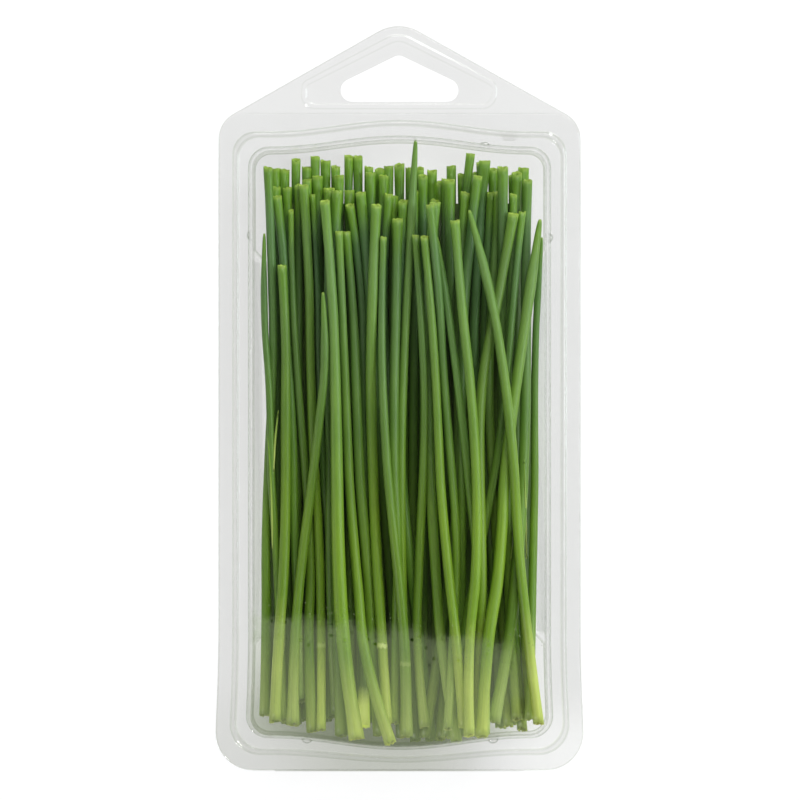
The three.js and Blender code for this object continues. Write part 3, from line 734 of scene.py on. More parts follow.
class Stem:
    """One hollow chive, as rings carried along its line by extrusion."""

    def __init__(self, bm, centres, radii, draws, sides, ring_step, depth, settings, scar=NO_SCAR):
        self.bm = bm
        self.centres = centres
        self.radii = radii
        self.sides = sides
        self.settings = settings
        self.length = sum((b - a).length for a, b in zip(centres, centres[1:]))
        self.steps = max(LEAST_RINGS, round(self.length / ring_step))
        self.pointed = radii[-1] < POINTED_RADIUS * MM
        # Painted shade: the tone is mostly the stem's depth in the bunch.
        self.tone = clamp01(mix(draws.between(0, 1), 1 - depth, DEPTH_SHADE_IN_TONE))
        self.own = Vector([draws.between(0, 1) for _ in range(3)])
        self.seed = Vector((draws.between(0, 90), draws.between(0, 90), 0))
        self.head_cut = [draws.between(-1, 1) for _ in range(3)]
        self.foot_cut = [draws.between(-1, 1) for _ in range(3)]
        self.scar_place = Vector((scar[0] * MM, scar[1] * MM, scar[2]))
        self.straight = bm.verts.layers.float_vector["straight"]
        self.place = bm.verts.layers.float_vector["place"]
        self.inner = bm.verts.layers.float["inner"]
        self.scar = bm.verts.layers.float_vector["scar"]
        self.habit = bm.verts.layers.float_vector["habit"]

    def radius(self, part):
        """The solid's own radius, with a leaf's pointed tip kept blunt."""
        full = along(self.radii, part)
        taper = POINT_TAPER * MM / self.length
        if not self.pointed or part < 1 - taper:
            return full
        left = max(1 - part, 0.0) / taper
        return max(full, along(self.radii, 1 - taper) * left ** POINT_BLUNTNESS)

    def matrix(self, part, scale, flatten):
        """Carries a circle of radius 1 to the ring at this place."""
        radius = self.radius(part) * self.settings.plump * scale
        wander = 1 + WANDER * noise.noise(self.seed + Vector((0, 0, part * WANDER_TURNS)))
        squeeze = 1 + SQUEEZE * noise.noise(self.seed + Vector((SQUEEZE_START, 0, part * SQUEEZE_TURNS)))
        wide = radius * wander * squeeze * (1 + flatten)
        high = radius * wander * (1 - flatten)
        return stem_frame(self.centres, part) @ Matrix.Diagonal((wide, high, 1, 1))

    def tag(self, verts, matrix, part, inner):
        """Marks a ring's points with their place on the stem, its tone for painted depth shade, and the
        stem's own habit, for its skin.
        """
        back = matrix.inverted()
        radius = self.radius(part)
        for v in verts:
            local = back @ v.co
            v[self.straight] = Vector((local.x * radius, local.y * radius, part * self.length))
            v[self.place] = Vector((part * self.length, (1 - part) * self.length, self.tone))
            v[self.inner] = inner
            v[self.scar] = self.scar_place
            v[self.habit] = self.own

    def carry(self, edges, last, part, scale=1.0, flatten=0.0, inner=0.0):
        """Extrudes the last ring to this place; gives the new vertices, edges and matrix."""
        made = bmesh.ops.extrude_edge_only(self.bm, edges=edges)["geom"]
        verts = [g for g in made if isinstance(g, bmesh.types.BMVert)]
        edges = [g for g in made if isinstance(g, bmesh.types.BMEdge)]
        matrix = self.matrix(part, scale, flatten)
        bmesh.ops.transform(self.bm, matrix=matrix @ last.inverted(), verts=verts)
        self.tag(verts, matrix, part, inner)
        return verts, edges, matrix

    def crush(self, cut):
        """How flat a cut end is."""
        return CRUSH + CRUSH_SPREAD * cut[2]

    def rag(self, verts, matrix, cut, sense):
        """Leaves a cut end slanted and uneven, with a notch where the skin tore."""
        ahead = matrix.to_3x3().col[2].normalized()
        back = matrix.inverted()
        coarse = FOOT_CHIPS if sense < 0 else HEAD_CHIPS
        chips = ((coarse, *COARSE_TURNS), (FINE_CHIPS, *FINE_TURNS))
        torn = cut[2] * math.pi
        tear = NOTCH_DEPTH * smooth(0.0, 1.0, cut[0] * cut[1] + 0.1)
        for v in verts:
            local = back @ v.co
            angle = math.atan2(local.y, local.x)
            slant = cut[0] * SLANT_SIDEWAYS * local.x - sense * (SLANT + SLANT_SPREAD * cut[1]) * local.y
            around = Vector((math.cos(angle), math.sin(angle), 0))
            rough = sum(
                size * noise.noise(self.seed + around * turns + Vector((0, 0, cut[2] * spread)))
                for size, turns, spread in chips
            )
            away = abs((angle - torn + math.pi) % (2 * math.pi) - math.pi)
            notch = tear * clamp01(1 - away / NOTCH_HALF_ANGLE)
            v.co += ahead * (slant + rough - notch * sense) * MM

    def close_end(self, edges, matrix, at_head):
        """Turns a cut end in over its rim and down into the hollow."""
        end, inwards = (1.0, -1) if at_head else (0.0, 1)
        width, depth = HEAD_HOLLOW if at_head else FOOT_HOLLOW
        depth = depth * MM / self.length
        crushed = self.crush(self.head_cut if at_head else self.foot_cut)
        for down, narrowed, kept, inner in HOLLOW_RINGS:
            part = end + inwards * depth * down
            verts, edges, matrix = self.carry(edges, matrix, part, width * narrowed, crushed * kept, inner)
        bmesh.ops.contextual_create(self.bm, geom=edges)

    def grow(self):
        """Draws the whole stem, from a circle at its foot to its head, and then both of its ends."""
        made = bmesh.ops.create_circle(self.bm, cap_ends=False, radius=1.0, segments=self.sides)
        foot_verts = verts = made["verts"]
        foot_edges = edges = list(dict.fromkeys(e for v in verts for e in v.link_edges))
        foot_matrix = matrix = self.matrix(0, 1.0, self.crush(self.foot_cut))
        bmesh.ops.transform(self.bm, matrix=foot_matrix, verts=foot_verts)
        self.tag(foot_verts, foot_matrix, 0.0, 0.0)
        rings = self.steps - 1 if self.pointed else self.steps
        for k in range(1, rings + 1):
            part = k / self.steps
            at_head = part > 0.5
            flatten = 0.0
            if not (self.pointed and at_head):
                cut = self.head_cut if at_head else self.foot_cut
                from_end = min(part, 1 - part)
                flatten = self.crush(cut) * (1 - smooth(0, CRUSH_LENGTH * MM / self.length, from_end))
            verts, edges, matrix = self.carry(edges, matrix, part, 1.0, flatten)
        if self.pointed:
            for left in POINT_RINGS:
                verts, edges, matrix = self.carry(edges, matrix, 1 - left * MM / self.length)
            bmesh.ops.contextual_create(self.bm, geom=edges)
        else:
            self.rag(verts, matrix, self.head_cut, 1)
            self.close_end(edges, matrix, True)
        self.rag(foot_verts, foot_matrix, self.foot_cut, -1)
        self.close_end(foot_edges, foot_matrix, False)


def new_stem_mesh():
    """An empty mesh whose points carry the marks that Stem.tag writes."""
    bm = bmesh.new()
    for name in ("straight", "place", "scar", "habit"):
        bm.verts.layers.float_vector.new(name)
    bm.verts.layers.float.new("inner")
    return bm


def finish_stems(bm, name, slot, material, *replaced):
    round_off(bm)
    return finish_piece(bm, name, "tray", [material], replaced)


def add_bed(bm):
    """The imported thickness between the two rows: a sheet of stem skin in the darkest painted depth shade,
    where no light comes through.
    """
    straight = bm.verts.layers.float_vector["straight"]
    place = bm.verts.layers.float_vector["place"]
    low_y, high_y = BED_ENDS
    size = (BED_HALF_WIDTH * 2 * MM, (high_y - low_y) * MM, BED_THICKNESS * MM)
    middle = Matrix.Translation(Vector((0, (low_y + high_y) / 2, BED_HEIGHT)) * MM)
    made = bmesh.ops.create_cube(bm, size=1, matrix=middle @ Matrix.Diagonal((*size, 1)))
    edges = dict.fromkeys(e for v in made["verts"] for e in v.link_edges)
    level = [e for e in edges if abs(e.verts[0].co.z - e.verts[1].co.z) < 1e-9]
    bmesh.ops.subdivide_edges(bm, edges=level, cuts=BED_CUTS, use_grid_fill=True)
    narrowing_low, narrowing_high = (y * MM for y in BED_NARROWING_Y)
    for v in bm.verts:
        v.co.z += BED_RIPPLE * MM * noise.noise(v.co * BED_RIPPLES_PER_METRE)
        if v.co.x > 0:
            narrowing = BED_HEAD_NARROWING * smooth(narrowing_low, narrowing_high, v.co.y)
            v.co.x += (BED_FOOT_WIDENING - narrowing) * MM * v.co.x / (BED_HALF_WIDTH * MM)
        v[straight] = Vector((v.co.x, 0, v.co.y))
        # A tone of 0 gives the bed the darkest painted depth shade.
        v[place] = Vector((BED_SKIN_PLACE * MM, BED_SKIN_PLACE * MM, 0.0))


def front_surface():
    """A tree of the front stems' solids, to find how high they lie."""
    verts, faces = [], []
    for node in FRONT_NODES:
        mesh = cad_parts[node].data
        start = len(verts)
        verts += [v.co.copy() for v in mesh.vertices]
        faces += [[start + i for i in polygon.vertices] for polygon in mesh.polygons]
    return BVHTree.FromPolygons(verts, faces)


def sliver_line(surface, sliver, draws):
    """Centre line and radii of a sliver that lies on the stems under it."""
    x0, y0, x1, y1, half_width = sliver
    centres, radii = [], []
    bend = draws.between(-SLIVER_BEND, SLIVER_BEND)
    for k in range(SLIVER_RINGS):
        part = 1 - k / (SLIVER_RINGS - 1)
        x = mix(x0, x1, part) + bend * math.sin(math.pi * part)
        y = mix(y0, y1, part)
        hit = surface.ray_cast(Vector((x, y, ABOVE_ALL_Z)) * MM, Vector((0, 0, -1)))[0]
        top = hit.z if hit else (centres[-1].z if centres else BARE_Z * MM)
        centres.append(Vector((x * MM, y * MM, top + half_width * SLIVER_LIFT * MM)))
        swelling = SLIVER_SWELLING * math.sin(math.pi * clamp01(part * SLIVER_SWELLING_END))
        radii.append(half_width * (SLIVER_ENDS + swelling) * MM)
    radii[-1] = SLIVER_TIP * MM
    heights = [c.z for c in centres]
    for k, c in enumerate(centres):
        near = heights[max(k - 1, 0):k + 2]
        c.z = max(c.z, sum(near) / len(near))
    return centres, radii


def row_lines(row):
    """Centre lines and radii of a hidden row's stems."""
    draws = Draws(row["seed"])
    shares = [k / (ROW_RINGS - 1) for k in range(ROW_RINGS)]
    last = len(row["heads"]) - 1
    for k, head_y in enumerate(row["heads"]):
        place = mix(row["left"], row["right"], k / last)
        foot = draws.between(*ROW_FOOT)
        head = head_y + draws.between(-ROW_HEAD_SPREAD, ROW_HEAD_SPREAD)
        across = [place + draws.between(-ROW_SWAY, ROW_SWAY) for _ in range(ROW_BENDS)]
        wide = draws.between(*ROW_DIAMETER)
        thin = draws.between(*ROW_DIAMETER)
        centres = [Vector((along(across, s), mix(foot, head, s), row["height"])) * MM for s in shares]
        radii = [mix(wide, thin, s) / 2 * MM for s in shares]
        yield centres, radii


# ------------------------------------------------------------- the materials

# The plastic: its painted shade along a crease, its gloss seen straight on, and its faint waves.
CREASE_SHADE_TINT = (0.6, 0.63, 0.56)
TRAY_GLOSS = 0.035
LID_GLOSS = 0.02
GLOSS_ROUGHNESS = 0.06
GLOSS_RISE = 5.0
WAVES = (90.0, 2.0)
WAVE_STRENGTH = 0.2
WAVE_HEIGHT = 0.3

# Where the tray's tint changes, each as a run from none to full in millimetres: painted
# shade at the middle of its foot, painted light beside and above the stems and at its
# lower right corner, and a film of painted shadow on the floor of its foot.
FOOT_SHADE_Y = (-74, -102)
FOOT_SHADE_OFF_MIDDLE = (42, 8)
FOOT_SHADE_SIDES = (0.3, 1.0)
FOOT_SHADE_X = (36, 0)
PAINTED_LIGHT_TOP_Y = (50, 62)
PAINTED_LIGHT_TOP_X = (-26, 2)
PAINTED_LIGHT_RIGHT_X = (34, 39)
PAINTED_LIGHT_Z = (2, 0.7)
PAINTED_LIGHT_TINT = (0.965, 0.965, 0.96)
LIT_CORNER_Y = (-78, -100)
LIT_CORNER_X = (18, 40)
LIT_CORNER_TINT = (0.985, 0.985, 0.98)
SHADOW_FILM_Y = (-66, -92)
SHADOW_FILM_Z = (TRAY_FLANGE_Z - 0.1, TRAY_FLANGE_Z - 1.1)
SHADOW_FILM_WALL_Z = (2, 7)
SHADOW_FILM_WALL = (1.0, 0.65)
SHADOW_FILM_LEFT_X = (-62, -8)
SHADOW_FILM_RIGHT_X = (36, 6)
SHADOW_FILM_DRIFT = (60.0, 4.0)
SHADOW_FILM_WANDER = 8

# Where mist lies inside the lid, with drops along its upper edge.
MIST_START = (-63, -68)
MIST_FULL = (0.0, 0.85)
MIST_SLANT = 0.12
MIST_DENSER_Y = (-68, -94)
MIST_DENSER = (1.0, 1.18)
MIST_X = (38, 28)
MIST_SIDE_WANDER = 1.4
MIST_DRIFT = (110.0, 6.0, 0.7)
MIST_WANDER = 13
MIST_OVER_Z = 16
MIST_BEADS = 2600.0
DROPS_FROM = (-54, -62)
DROPS_TO = (-76, -69)
# Scale, reach and rarity of drops that clear the mist and of drops with painted glints.
CLEAR_DROPS = (480.0, 0.26, 0.55)
GLINT_DROPS = (800.0, 0.16, 0.72)
GLINT_DROP_SHARE = 0.3

# A stem's skin: tones that its base colour is multiplied by, and sizes of its pattern.
SKIN_LENGTH = 160
SKIN_SHIFT = 0.09
HUES = ((0.0, (1.08, 1.02, 0.72)), (0.5, (1.0, 1.0, 1.0)), (1.0, (0.94, 0.98, 1.15)))
VALUES = ((0.0, (0.86, 0.86, 0.86)), (1.0, (1.12, 1.12, 1.12)))
RIB_SCALE = (3000, 3000, 40)
RIB_DETAIL = 3.0
RIB_TONES = ((0.3, (0.86, 0.88, 0.83)), (0.7, (1.12, 1.1, 1.12)))
RIB_HEIGHT = 0.05
PATCH_SCALE = (300, 300, 60)
PATCH_DETAIL = 2.0
PATCH_TONES = ((0.3, (0.9, 0.92, 0.9)), (0.7, (1.1, 1.06, 1.1)))
# Painted shade: stems that lie deep in the bunch, and the bed between the rows, are darker.
DEPTH_SHADE_TONES = ((0.0, (0.42, 0.5, 0.42)), (0.45, (0.8, 0.86, 0.85)), (1.0, (1.12, 1.08, 0.95)))
# Inside a cut end: the rim is paler cut flesh, and the deep hollow is darker with painted shade.
HOLLOW_RIM_AND_SHADE_TONES = ((0.0, (1, 1, 1)), (0.35, (1.5, 1.35, 1.5)), (0.6, (1.4, 1.25, 1.3)), (1.0, (0.75, 0.75, 0.5)))
HEAD_RUN = (16, 3)
# The head's colour shows less on stems that lie high, and near the head the painted depth shade of stems that
# lie low is lifted.
HEAD_BY_TONE = -0.5
HEAD_SHARE = 0.9
HEAD_SHADE_LIFT = 0.7
RIM_RUN = (1.3, 0.2)
RIM_SHARE = (0.0, 0.45)
SCAR_RAGGEDNESS = 2.4
# Painted glow: pale scars and the bleached foot give off a little light, which lifts them out of the shade
# between the stems.
SCAR_PAINTED_GLOW = 0.3
SCAR_PAINTED_GLOW_COLOUR = (0.8, 1.0, 0.05, 1)
FRONT_SHADE = (1.0, 1.0, 1.0)
# The rear rows' copy of the skin is a touch darker: painted shade.
REAR_SHADE = (0.95, 0.97, 0.9)

# The table top: scale and detail of its grain, and how much the grain varies its tone.
FLOOR_GRAIN = (40.0, 2.0)
FLOOR_VARIATION = 0.02


class Shader:
    """A material with short calls for adding and joining its nodes."""

    def __init__(self, name):
        self.material = bpy.data.materials.new(name)
        self.material.use_nodes = True
        self.tree = self.material.node_tree
        self.tree.nodes.clear()
        self.output = self.add("ShaderNodeOutputMaterial")

    def add(self, kind, inputs=None, **settings):
        node = self.tree.nodes.new(kind)
        for key, value in settings.items():
            setattr(node, key, value)
        for key, value in (inputs or {}).items():
            if isinstance(value, bpy.types.NodeSocket):
                self.tree.links.new(value, node.inputs[key])
            else:
                node.inputs[key].default_value = value
        return node

    def math(self, operation, *values):
        return self.add("ShaderNodeMath", dict(enumerate(values)), operation=operation).outputs[0]

    def product(self, first, *others):
        """All these values multiplied together."""
        for value in others:
            first = self.math("MULTIPLY", first, value)
        return first

    def fade(self, value, run, ends=(0.0, 1.0)):
        """A smooth rise from one end value to the other along a run given in millimetres."""
        return self.add("ShaderNodeMapRange", {
            "Value": value, "From Min": run[0] * MM, "From Max": run[1] * MM,
            "To Min": ends[0], "To Max": ends[1],
        }, interpolation_type="SMOOTHSTEP").outputs[0]

    def split(self, vector):
        return self.add("ShaderNodeSeparateXYZ", {0: vector}).outputs

    def mark(self, name, output="Vector"):
        """What the mesh's points carry under a name."""
        return self.add("ShaderNodeAttribute", attribute_name=name).outputs[output]

    def noise(self, where, scale, detail, roughness=0.5):
        return self.add("ShaderNodeTexNoise", {
            "Vector": where, "Scale": scale, "Detail": detail, "Roughness": roughness,
        }).outputs["Fac"]

    def wander(self, field, reach):
        """A noise field turned into a shift to either side, in metres for a reach in millimetres."""
        return self.math("MULTIPLY", self.math("SUBTRACT", field, 0.5), reach * MM)

    def stretched(self, where, scale):
        return self.add("ShaderNodeMapping", {"Vector": where, "Scale": scale}).outputs[0]

    def ramp(self, value, stops):
        node = self.add("ShaderNodeValToRGB", {"Fac": value})
        ramp = node.color_ramp
        while len(ramp.elements) < len(stops):
            ramp.elements.new(0.5)
        for element, (position, colour) in zip(ramp.elements, stops):
            element.position = position
            element.color = (*colour, 1)
        return node.outputs["Color"]

    def blend(self, factor, a, b, blend_type="MIX"):
        node = self.add("ShaderNodeMix", data_type="RGBA", blend_type=blend_type)
        for socket, value in ((node.inputs[0], factor), (node.inputs[6], a), (node.inputs[7], b)):
            if isinstance(value, bpy.types.NodeSocket):
                self.tree.links.new(value, socket)
            elif isinstance(value, tuple):
                socket.default_value = (*value, 1)
            else:
                socket.default_value = value
        return node.outputs[2]

    def toned(self, colour, *tones):
        """A colour multiplied by others."""
        for tone in tones:
            colour = self.blend(1.0, colour, tone, "MULTIPLY")
        return colour

    def layered(self, share, under, over):
        return self.add("ShaderNodeMixShader", {0: share, 1: under, 2: over}).outputs[0]

    def filmed(self, share, clear, colour):
        """A clear surface with a share of a dull film on it."""
        film = self.add("ShaderNodeBsdfDiffuse", {"Color": (*colour, 1)})
        return self.layered(share, clear, film.outputs[0])

    def finish(self, surface):
        self.tree.links.new(surface, self.output.inputs["Surface"])
        return self.material


def see_through_gloss(shader, tint, facing_gloss):
    """Clear plastic: darkened by painted shade along its creases, mirror-like where seen slantwise, without a
    shadow.
    """
    where = shader.add("ShaderNodeTexCoord").outputs["Object"]
    facing = shader.add("ShaderNodeLayerWeight", {"Blend": 0.5}).outputs["Facing"]
    # Painted shade: the sheet lets less light through where its points carry the crease mark.
    crease_shaded = shader.blend(shader.mark("crease", "Fac"), tint, shader.toned(tint, CREASE_SHADE_TINT))
    through = shader.add("ShaderNodeBsdfTransparent", {"Color": crease_shaded})
    bump = shader.add("ShaderNodeBump", {
        "Height": shader.noise(where, *WAVES), "Strength": WAVE_STRENGTH, "Distance": WAVE_HEIGHT * MM,
    })
    gloss = shader.add("ShaderNodeBsdfGlossy", {
        "Color": (1, 1, 1, 1), "Roughness": GLOSS_ROUGHNESS, "Normal": bump.outputs[0],
    })
    rise = shader.math("POWER", facing, GLOSS_RISE)
    share = shader.math("MULTIPLY_ADD", rise, 1 - facing_gloss, facing_gloss)
    seen = shader.layered(share, through.outputs[0], gloss.outputs[0])
    open_air = shader.add("ShaderNodeBsdfTransparent", {"Color": (1, 1, 1, 1)})
    shadow = shader.add("ShaderNodeLightPath").outputs["Is Shadow Ray"]
    return shader.layered(shadow, seen, open_air.outputs[0])


def tray_sheet_material(settings):
    """The tray's clear plastic, with painted shade at the middle of its foot, painted light beside the stems
    and at its lower right corner, and a dark film of painted shadow on its floor.
    """
    shader = Shader("clear_tray_sheet")
    where = shader.add("ShaderNodeTexCoord").outputs["Object"]
    x, y, z = shader.split(where)
    # Painted shade: the tint darkens towards the middle of the foot.
    foot_painted_shade = shader.product(
        shader.fade(y, FOOT_SHADE_Y),
        shader.fade(shader.math("ABSOLUTE", x), FOOT_SHADE_OFF_MIDDLE, FOOT_SHADE_SIDES),
        shader.fade(x, FOOT_SHADE_X),
    )
    tint = shader.blend(foot_painted_shade, tuple(settings.tray_tint), tuple(settings.foot_shade_tint))
    # Painted light: the floor beside and above the stems gets a clearer tint.
    above = shader.product(shader.fade(y, PAINTED_LIGHT_TOP_Y), shader.fade(x, PAINTED_LIGHT_TOP_X))
    painted_light_part = shader.math("MAXIMUM", above, shader.fade(x, PAINTED_LIGHT_RIGHT_X))
    tint = shader.blend(shader.product(painted_light_part, shader.fade(z, PAINTED_LIGHT_Z)), tint, PAINTED_LIGHT_TINT)
    # Painted light: the lower right corner of the foot gets a clearer tint.
    corner = shader.product(shader.fade(y, LIT_CORNER_Y), shader.fade(x, LIT_CORNER_X))
    tint = shader.blend(corner, tint, LIT_CORNER_TINT)
    clear = see_through_gloss(shader, tint, TRAY_GLOSS)

    # Painted shadow: a dark film on the floor of the foot stands in for the bunch's shadow.
    wander = shader.wander(shader.noise(where, *SHADOW_FILM_DRIFT), SHADOW_FILM_WANDER)
    across = shader.math("ADD", x, wander)
    painted_shadow = shader.product(
        shader.fade(shader.math("ADD", y, wander), SHADOW_FILM_Y),
        shader.fade(z, SHADOW_FILM_Z),
        shader.fade(z, SHADOW_FILM_WALL_Z, SHADOW_FILM_WALL),
        shader.fade(across, SHADOW_FILM_LEFT_X),
        shader.fade(across, SHADOW_FILM_RIGHT_X),
        settings.painted_shadow,
    )
    return shader.finish(shader.filmed(painted_shadow, clear, settings.painted_shadow_colour))


def drops(shader, where, scale, reach, rarity):
    """Scattered round spots: 1 inside a spot, and none in the share of cells given by rarity."""
    cells = shader.add("ShaderNodeTexVoronoi", {"Vector": where, "Scale": scale})
    picked = shader.add("ShaderNodeSeparateColor", {0: cells.outputs["Color"]}).outputs[0]
    inside = shader.math("LESS_THAN", cells.outputs["Distance"], reach)
    return shader.product(inside, shader.math("GREATER_THAN", picked, rarity))


def lid_sheet_material(settings):
    """The lid's clear plastic, with a film of mist inside the foot end of its panel, tinted green by painted
    light from the stems below.
    """
    shader = Shader("clear_lid_sheet")
    clear = see_through_gloss(shader, tuple(settings.lid_tint), LID_GLOSS)
    where = shader.add("ShaderNodeTexCoord").outputs["Object"]
    x, y, z = shader.split(where)
    wander = shader.wander(shader.noise(where, *MIST_DRIFT), MIST_WANDER)
    level = shader.math("ADD", shader.math("ADD", y, shader.product(x, MIST_SLANT)), wander)
    across = shader.math("ADD", x, shader.product(wander, MIST_SIDE_WANDER))
    raised = shader.math("GREATER_THAN", z, MIST_OVER_Z * MM)
    beads = shader.add("ShaderNodeTexVoronoi", {"Vector": where, "Scale": MIST_BEADS}).outputs["Distance"]
    speckle = shader.add("ShaderNodeMapRange", {
        "Value": beads, "From Min": 0.1, "From Max": 0.6, "To Min": 1.0, "To Max": 0.8,
    }).outputs[0]
    edge = shader.product(shader.fade(level, DROPS_FROM), shader.fade(level, DROPS_TO))
    cleared = shader.product(drops(shader, where, *CLEAR_DROPS), edge)
    mist = shader.product(
        shader.fade(level, MIST_START, MIST_FULL),
        shader.fade(across, MIST_X),
        raised,
        shader.fade(y, MIST_DENSER_Y, MIST_DENSER),
        speckle,
        shader.math("SUBTRACT", 1.0, cleared),
        settings.mist,
    )
    # Painted highlights: pale spots of film stand in for glints on the drops.
    painted_glints = shader.product(drops(shader, where, *GLINT_DROPS), edge, raised, GLINT_DROP_SHARE)
    return shader.finish(shader.filmed(shader.math("MAXIMUM", mist, painted_glints), clear, settings.mist_and_bounce_colour))


def stem_material(name, settings, shade):
    """Living skin: pale foot, bright middle, cooler top, fine ribs, pale scars and a lighter cut rim, with
    painted shade on stems that lie deep, in the hollows of cut ends and on the rear rows, and a painted glow
    on the scars.
    """
    shader = Shader(name)
    straight = shader.mark("straight")
    from_foot, to_head, tone = shader.split(shader.mark("place"))
    hue, value, reach = shader.split(shader.mark("habit"))
    scar_at, scar_half, scar_strength = shader.split(shader.mark("scar"))
    ribs = shader.noise(shader.stretched(straight, RIB_SCALE), 1.0, RIB_DETAIL)
    patches = shader.noise(shader.stretched(straight, PATCH_SCALE), 1.0, PATCH_DETAIL)

    foot = tuple(settings.foot_colour)
    low = tuple(settings.low_colour)
    middle = tuple(settings.middle_colour)
    top = tuple(settings.top_colour)
    length = shader.math("DIVIDE", from_foot, SKIN_LENGTH * MM)
    length = shader.math("ADD", length, shader.product(shader.math("SUBTRACT", reach, 0.5), SKIN_SHIFT))
    stops = ((0.0, foot), (0.05, foot), (0.18, low), (0.36, low), (0.56, middle), (0.85, top))
    colour = shader.toned(shader.ramp(length, stops), shader.ramp(hue, HUES), shader.ramp(value, VALUES))

    near_head = shader.fade(to_head, HEAD_RUN)
    vivid = shader.product(near_head, shader.math("MULTIPLY_ADD", tone, HEAD_BY_TONE, HEAD_SHARE))
    colour = shader.blend(vivid, colour, tuple(settings.head_colour))
    colour = shader.blend(shader.fade(to_head, RIM_RUN, RIM_SHARE), colour, tuple(settings.rim_colour))
    colour = shader.toned(colour, shader.ramp(ribs, RIB_TONES), shader.ramp(patches, PATCH_TONES))

    ragged = shader.wander(ribs, SCAR_RAGGEDNESS)
    off = shader.math("ABSOLUTE", shader.math("ADD", shader.math("SUBTRACT", from_foot, scar_at), ragged))
    inside = shader.math("SUBTRACT", 1.0, shader.math("DIVIDE", off, scar_half))
    pale = shader.add("ShaderNodeMath", {0: inside, 1: 2.0}, operation="MULTIPLY", use_clamp=True).outputs[0]
    pale = shader.product(pale, scar_strength)
    # How much light is painted on: the tone, lifted near the head.
    painted_light_level = shader.math("MAXIMUM", tone, shader.product(near_head, HEAD_SHADE_LIFT))
    # Pale scars are kept out of the painted depth shade.
    painted_light_level = shader.math("MAXIMUM", painted_light_level, pale)
    inner = shader.mark("inner", "Fac")
    colour = shader.toned(colour, shader.ramp(painted_light_level, DEPTH_SHADE_TONES), shade, shader.ramp(inner, HOLLOW_RIM_AND_SHADE_TONES))
    colour = shader.blend(pale, colour, tuple(settings.scar_colour))
    bump = shader.add("ShaderNodeBump", {"Height": ribs, "Strength": 0.25, "Distance": RIB_HEIGHT * MM})
    # The emission is a painted glow on the pale scars.
    skin = shader.add("ShaderNodeBsdfPrincipled", {
        "Base Color": colour, "Roughness": 0.42, "IOR": 1.45, "Normal": bump.outputs[0],
        "Emission Color": SCAR_PAINTED_GLOW_COLOUR, "Emission Strength": shader.product(pale, SCAR_PAINTED_GLOW),
    })
    return shader.finish(skin.outputs[0])


def floor_material(settings):
    """A pale glowing table top."""
    shader = Shader("pale_floor")
    where = shader.add("ShaderNodeTexCoord").outputs["Object"]
    low = settings.floor_tone
    high = low + FLOOR_VARIATION
    grain = shader.noise(where, *FLOOR_GRAIN)
    colour = shader.ramp(grain, ((0.3, (low, low, low)), (0.7, (high, high, high))))
    paper = shader.add("ShaderNodeBsdfDiffuse", {"Color": colour})
    glow = shader.add("ShaderNodeEmission", {"Color": (1, 1, 1, 1), "Strength": settings.floor_glow})
    surface = shader.add("ShaderNodeAddShader", {0: paper.outputs[0], 1: glow.outputs[0]})
    return shader.finish(surface.outputs[0])


# ------------------------------------------------------------------ the studio

# How high the eye looks on the studio's wall, and the grey there: pale all round,
# dark straight above, so that flat plastic stays clear.
AIR_STOPS = ((0.25, 1.0), (0.85, 0.05), (0.55, 0.35))
FLOOR_SIZE = 3.0
# Place, width and height of each softbox, and the setting with its power.
SOFTBOXES = {
    "key_softbox": ((0.25, 1.1, 1.6), (1.2, 0.9), "key_power"),
    "right_softbox": ((1.5, 0.25, 1.15), (0.7, 1.5), "side_power"),
    "left_softbox": ((-1.4, 0.2, 0.9), (0.6, 1.2), "fill_power"),
    "corner_strip": ((0.54, 1.36, 0.7), (0.24, 0.9), "strip_power"),
    "corner_spark": ((-0.9, -0.95, 1.1), (0.3, 0.3), "spark_power"),
}
COOL_LIGHT = (0.86, 0.95, 1.0)
SENSOR_WIDTH = 36.0
CAMERA_X = 0.14
CAMERA_Y = -0.3


def studio_air(settings):
    """The walls of light round the table."""
    world = bpy.data.worlds.new("studio_air")
    world.use_nodes = True
    nodes, links = world.node_tree.nodes, world.node_tree.links
    direction = nodes.new("ShaderNodeTexCoord")
    parts = nodes.new("ShaderNodeSeparateXYZ")
    ramp = nodes.new("ShaderNodeValToRGB")
    background = nodes["Background"]
    links.new(direction.outputs["Generated"], parts.inputs[0])
    links.new(parts.outputs["Z"], ramp.inputs["Fac"])
    links.new(ramp.outputs["Color"], background.inputs["Color"])
    elements = ramp.color_ramp.elements
    walls, ceiling, between = AIR_STOPS
    for element, (position, grey) in zip(elements, (walls, ceiling)):
        element.position = position
        element.color = (grey, grey, grey, 1)
    position, grey = between
    elements.new(position).color = (grey, grey, grey, 1)
    background.inputs["Strength"].default_value = settings.air
    return world


def add_softbox(name, place, size, power):
    """A rectangular light that faces the pack."""
    light = bpy.data.lights.new(name, "AREA")
    light.shape = "RECTANGLE"
    light.size, light.size_y = size
    light.energy = power
    lamp = bpy.data.objects.new(name, light)
    lamp.location = place
    lamp.rotation_euler = (-Vector(place)).to_track_quat("-Z", "Y").to_euler()
    bpy.context.scene.collection.objects.link(lamp)
    return lamp


def add_floor(settings):
    bm = bmesh.new()
    bmesh.ops.create_grid(bm, x_segments=1, y_segments=1, size=FLOOR_SIZE)
    mesh = bpy.data.meshes.new("floor")
    bm.to_mesh(mesh)
    bm.free()
    mesh.materials.append(floor_material(settings))
    floor = bpy.data.objects.new("floor", mesh)
    bpy.context.scene.collection.objects.link(floor)


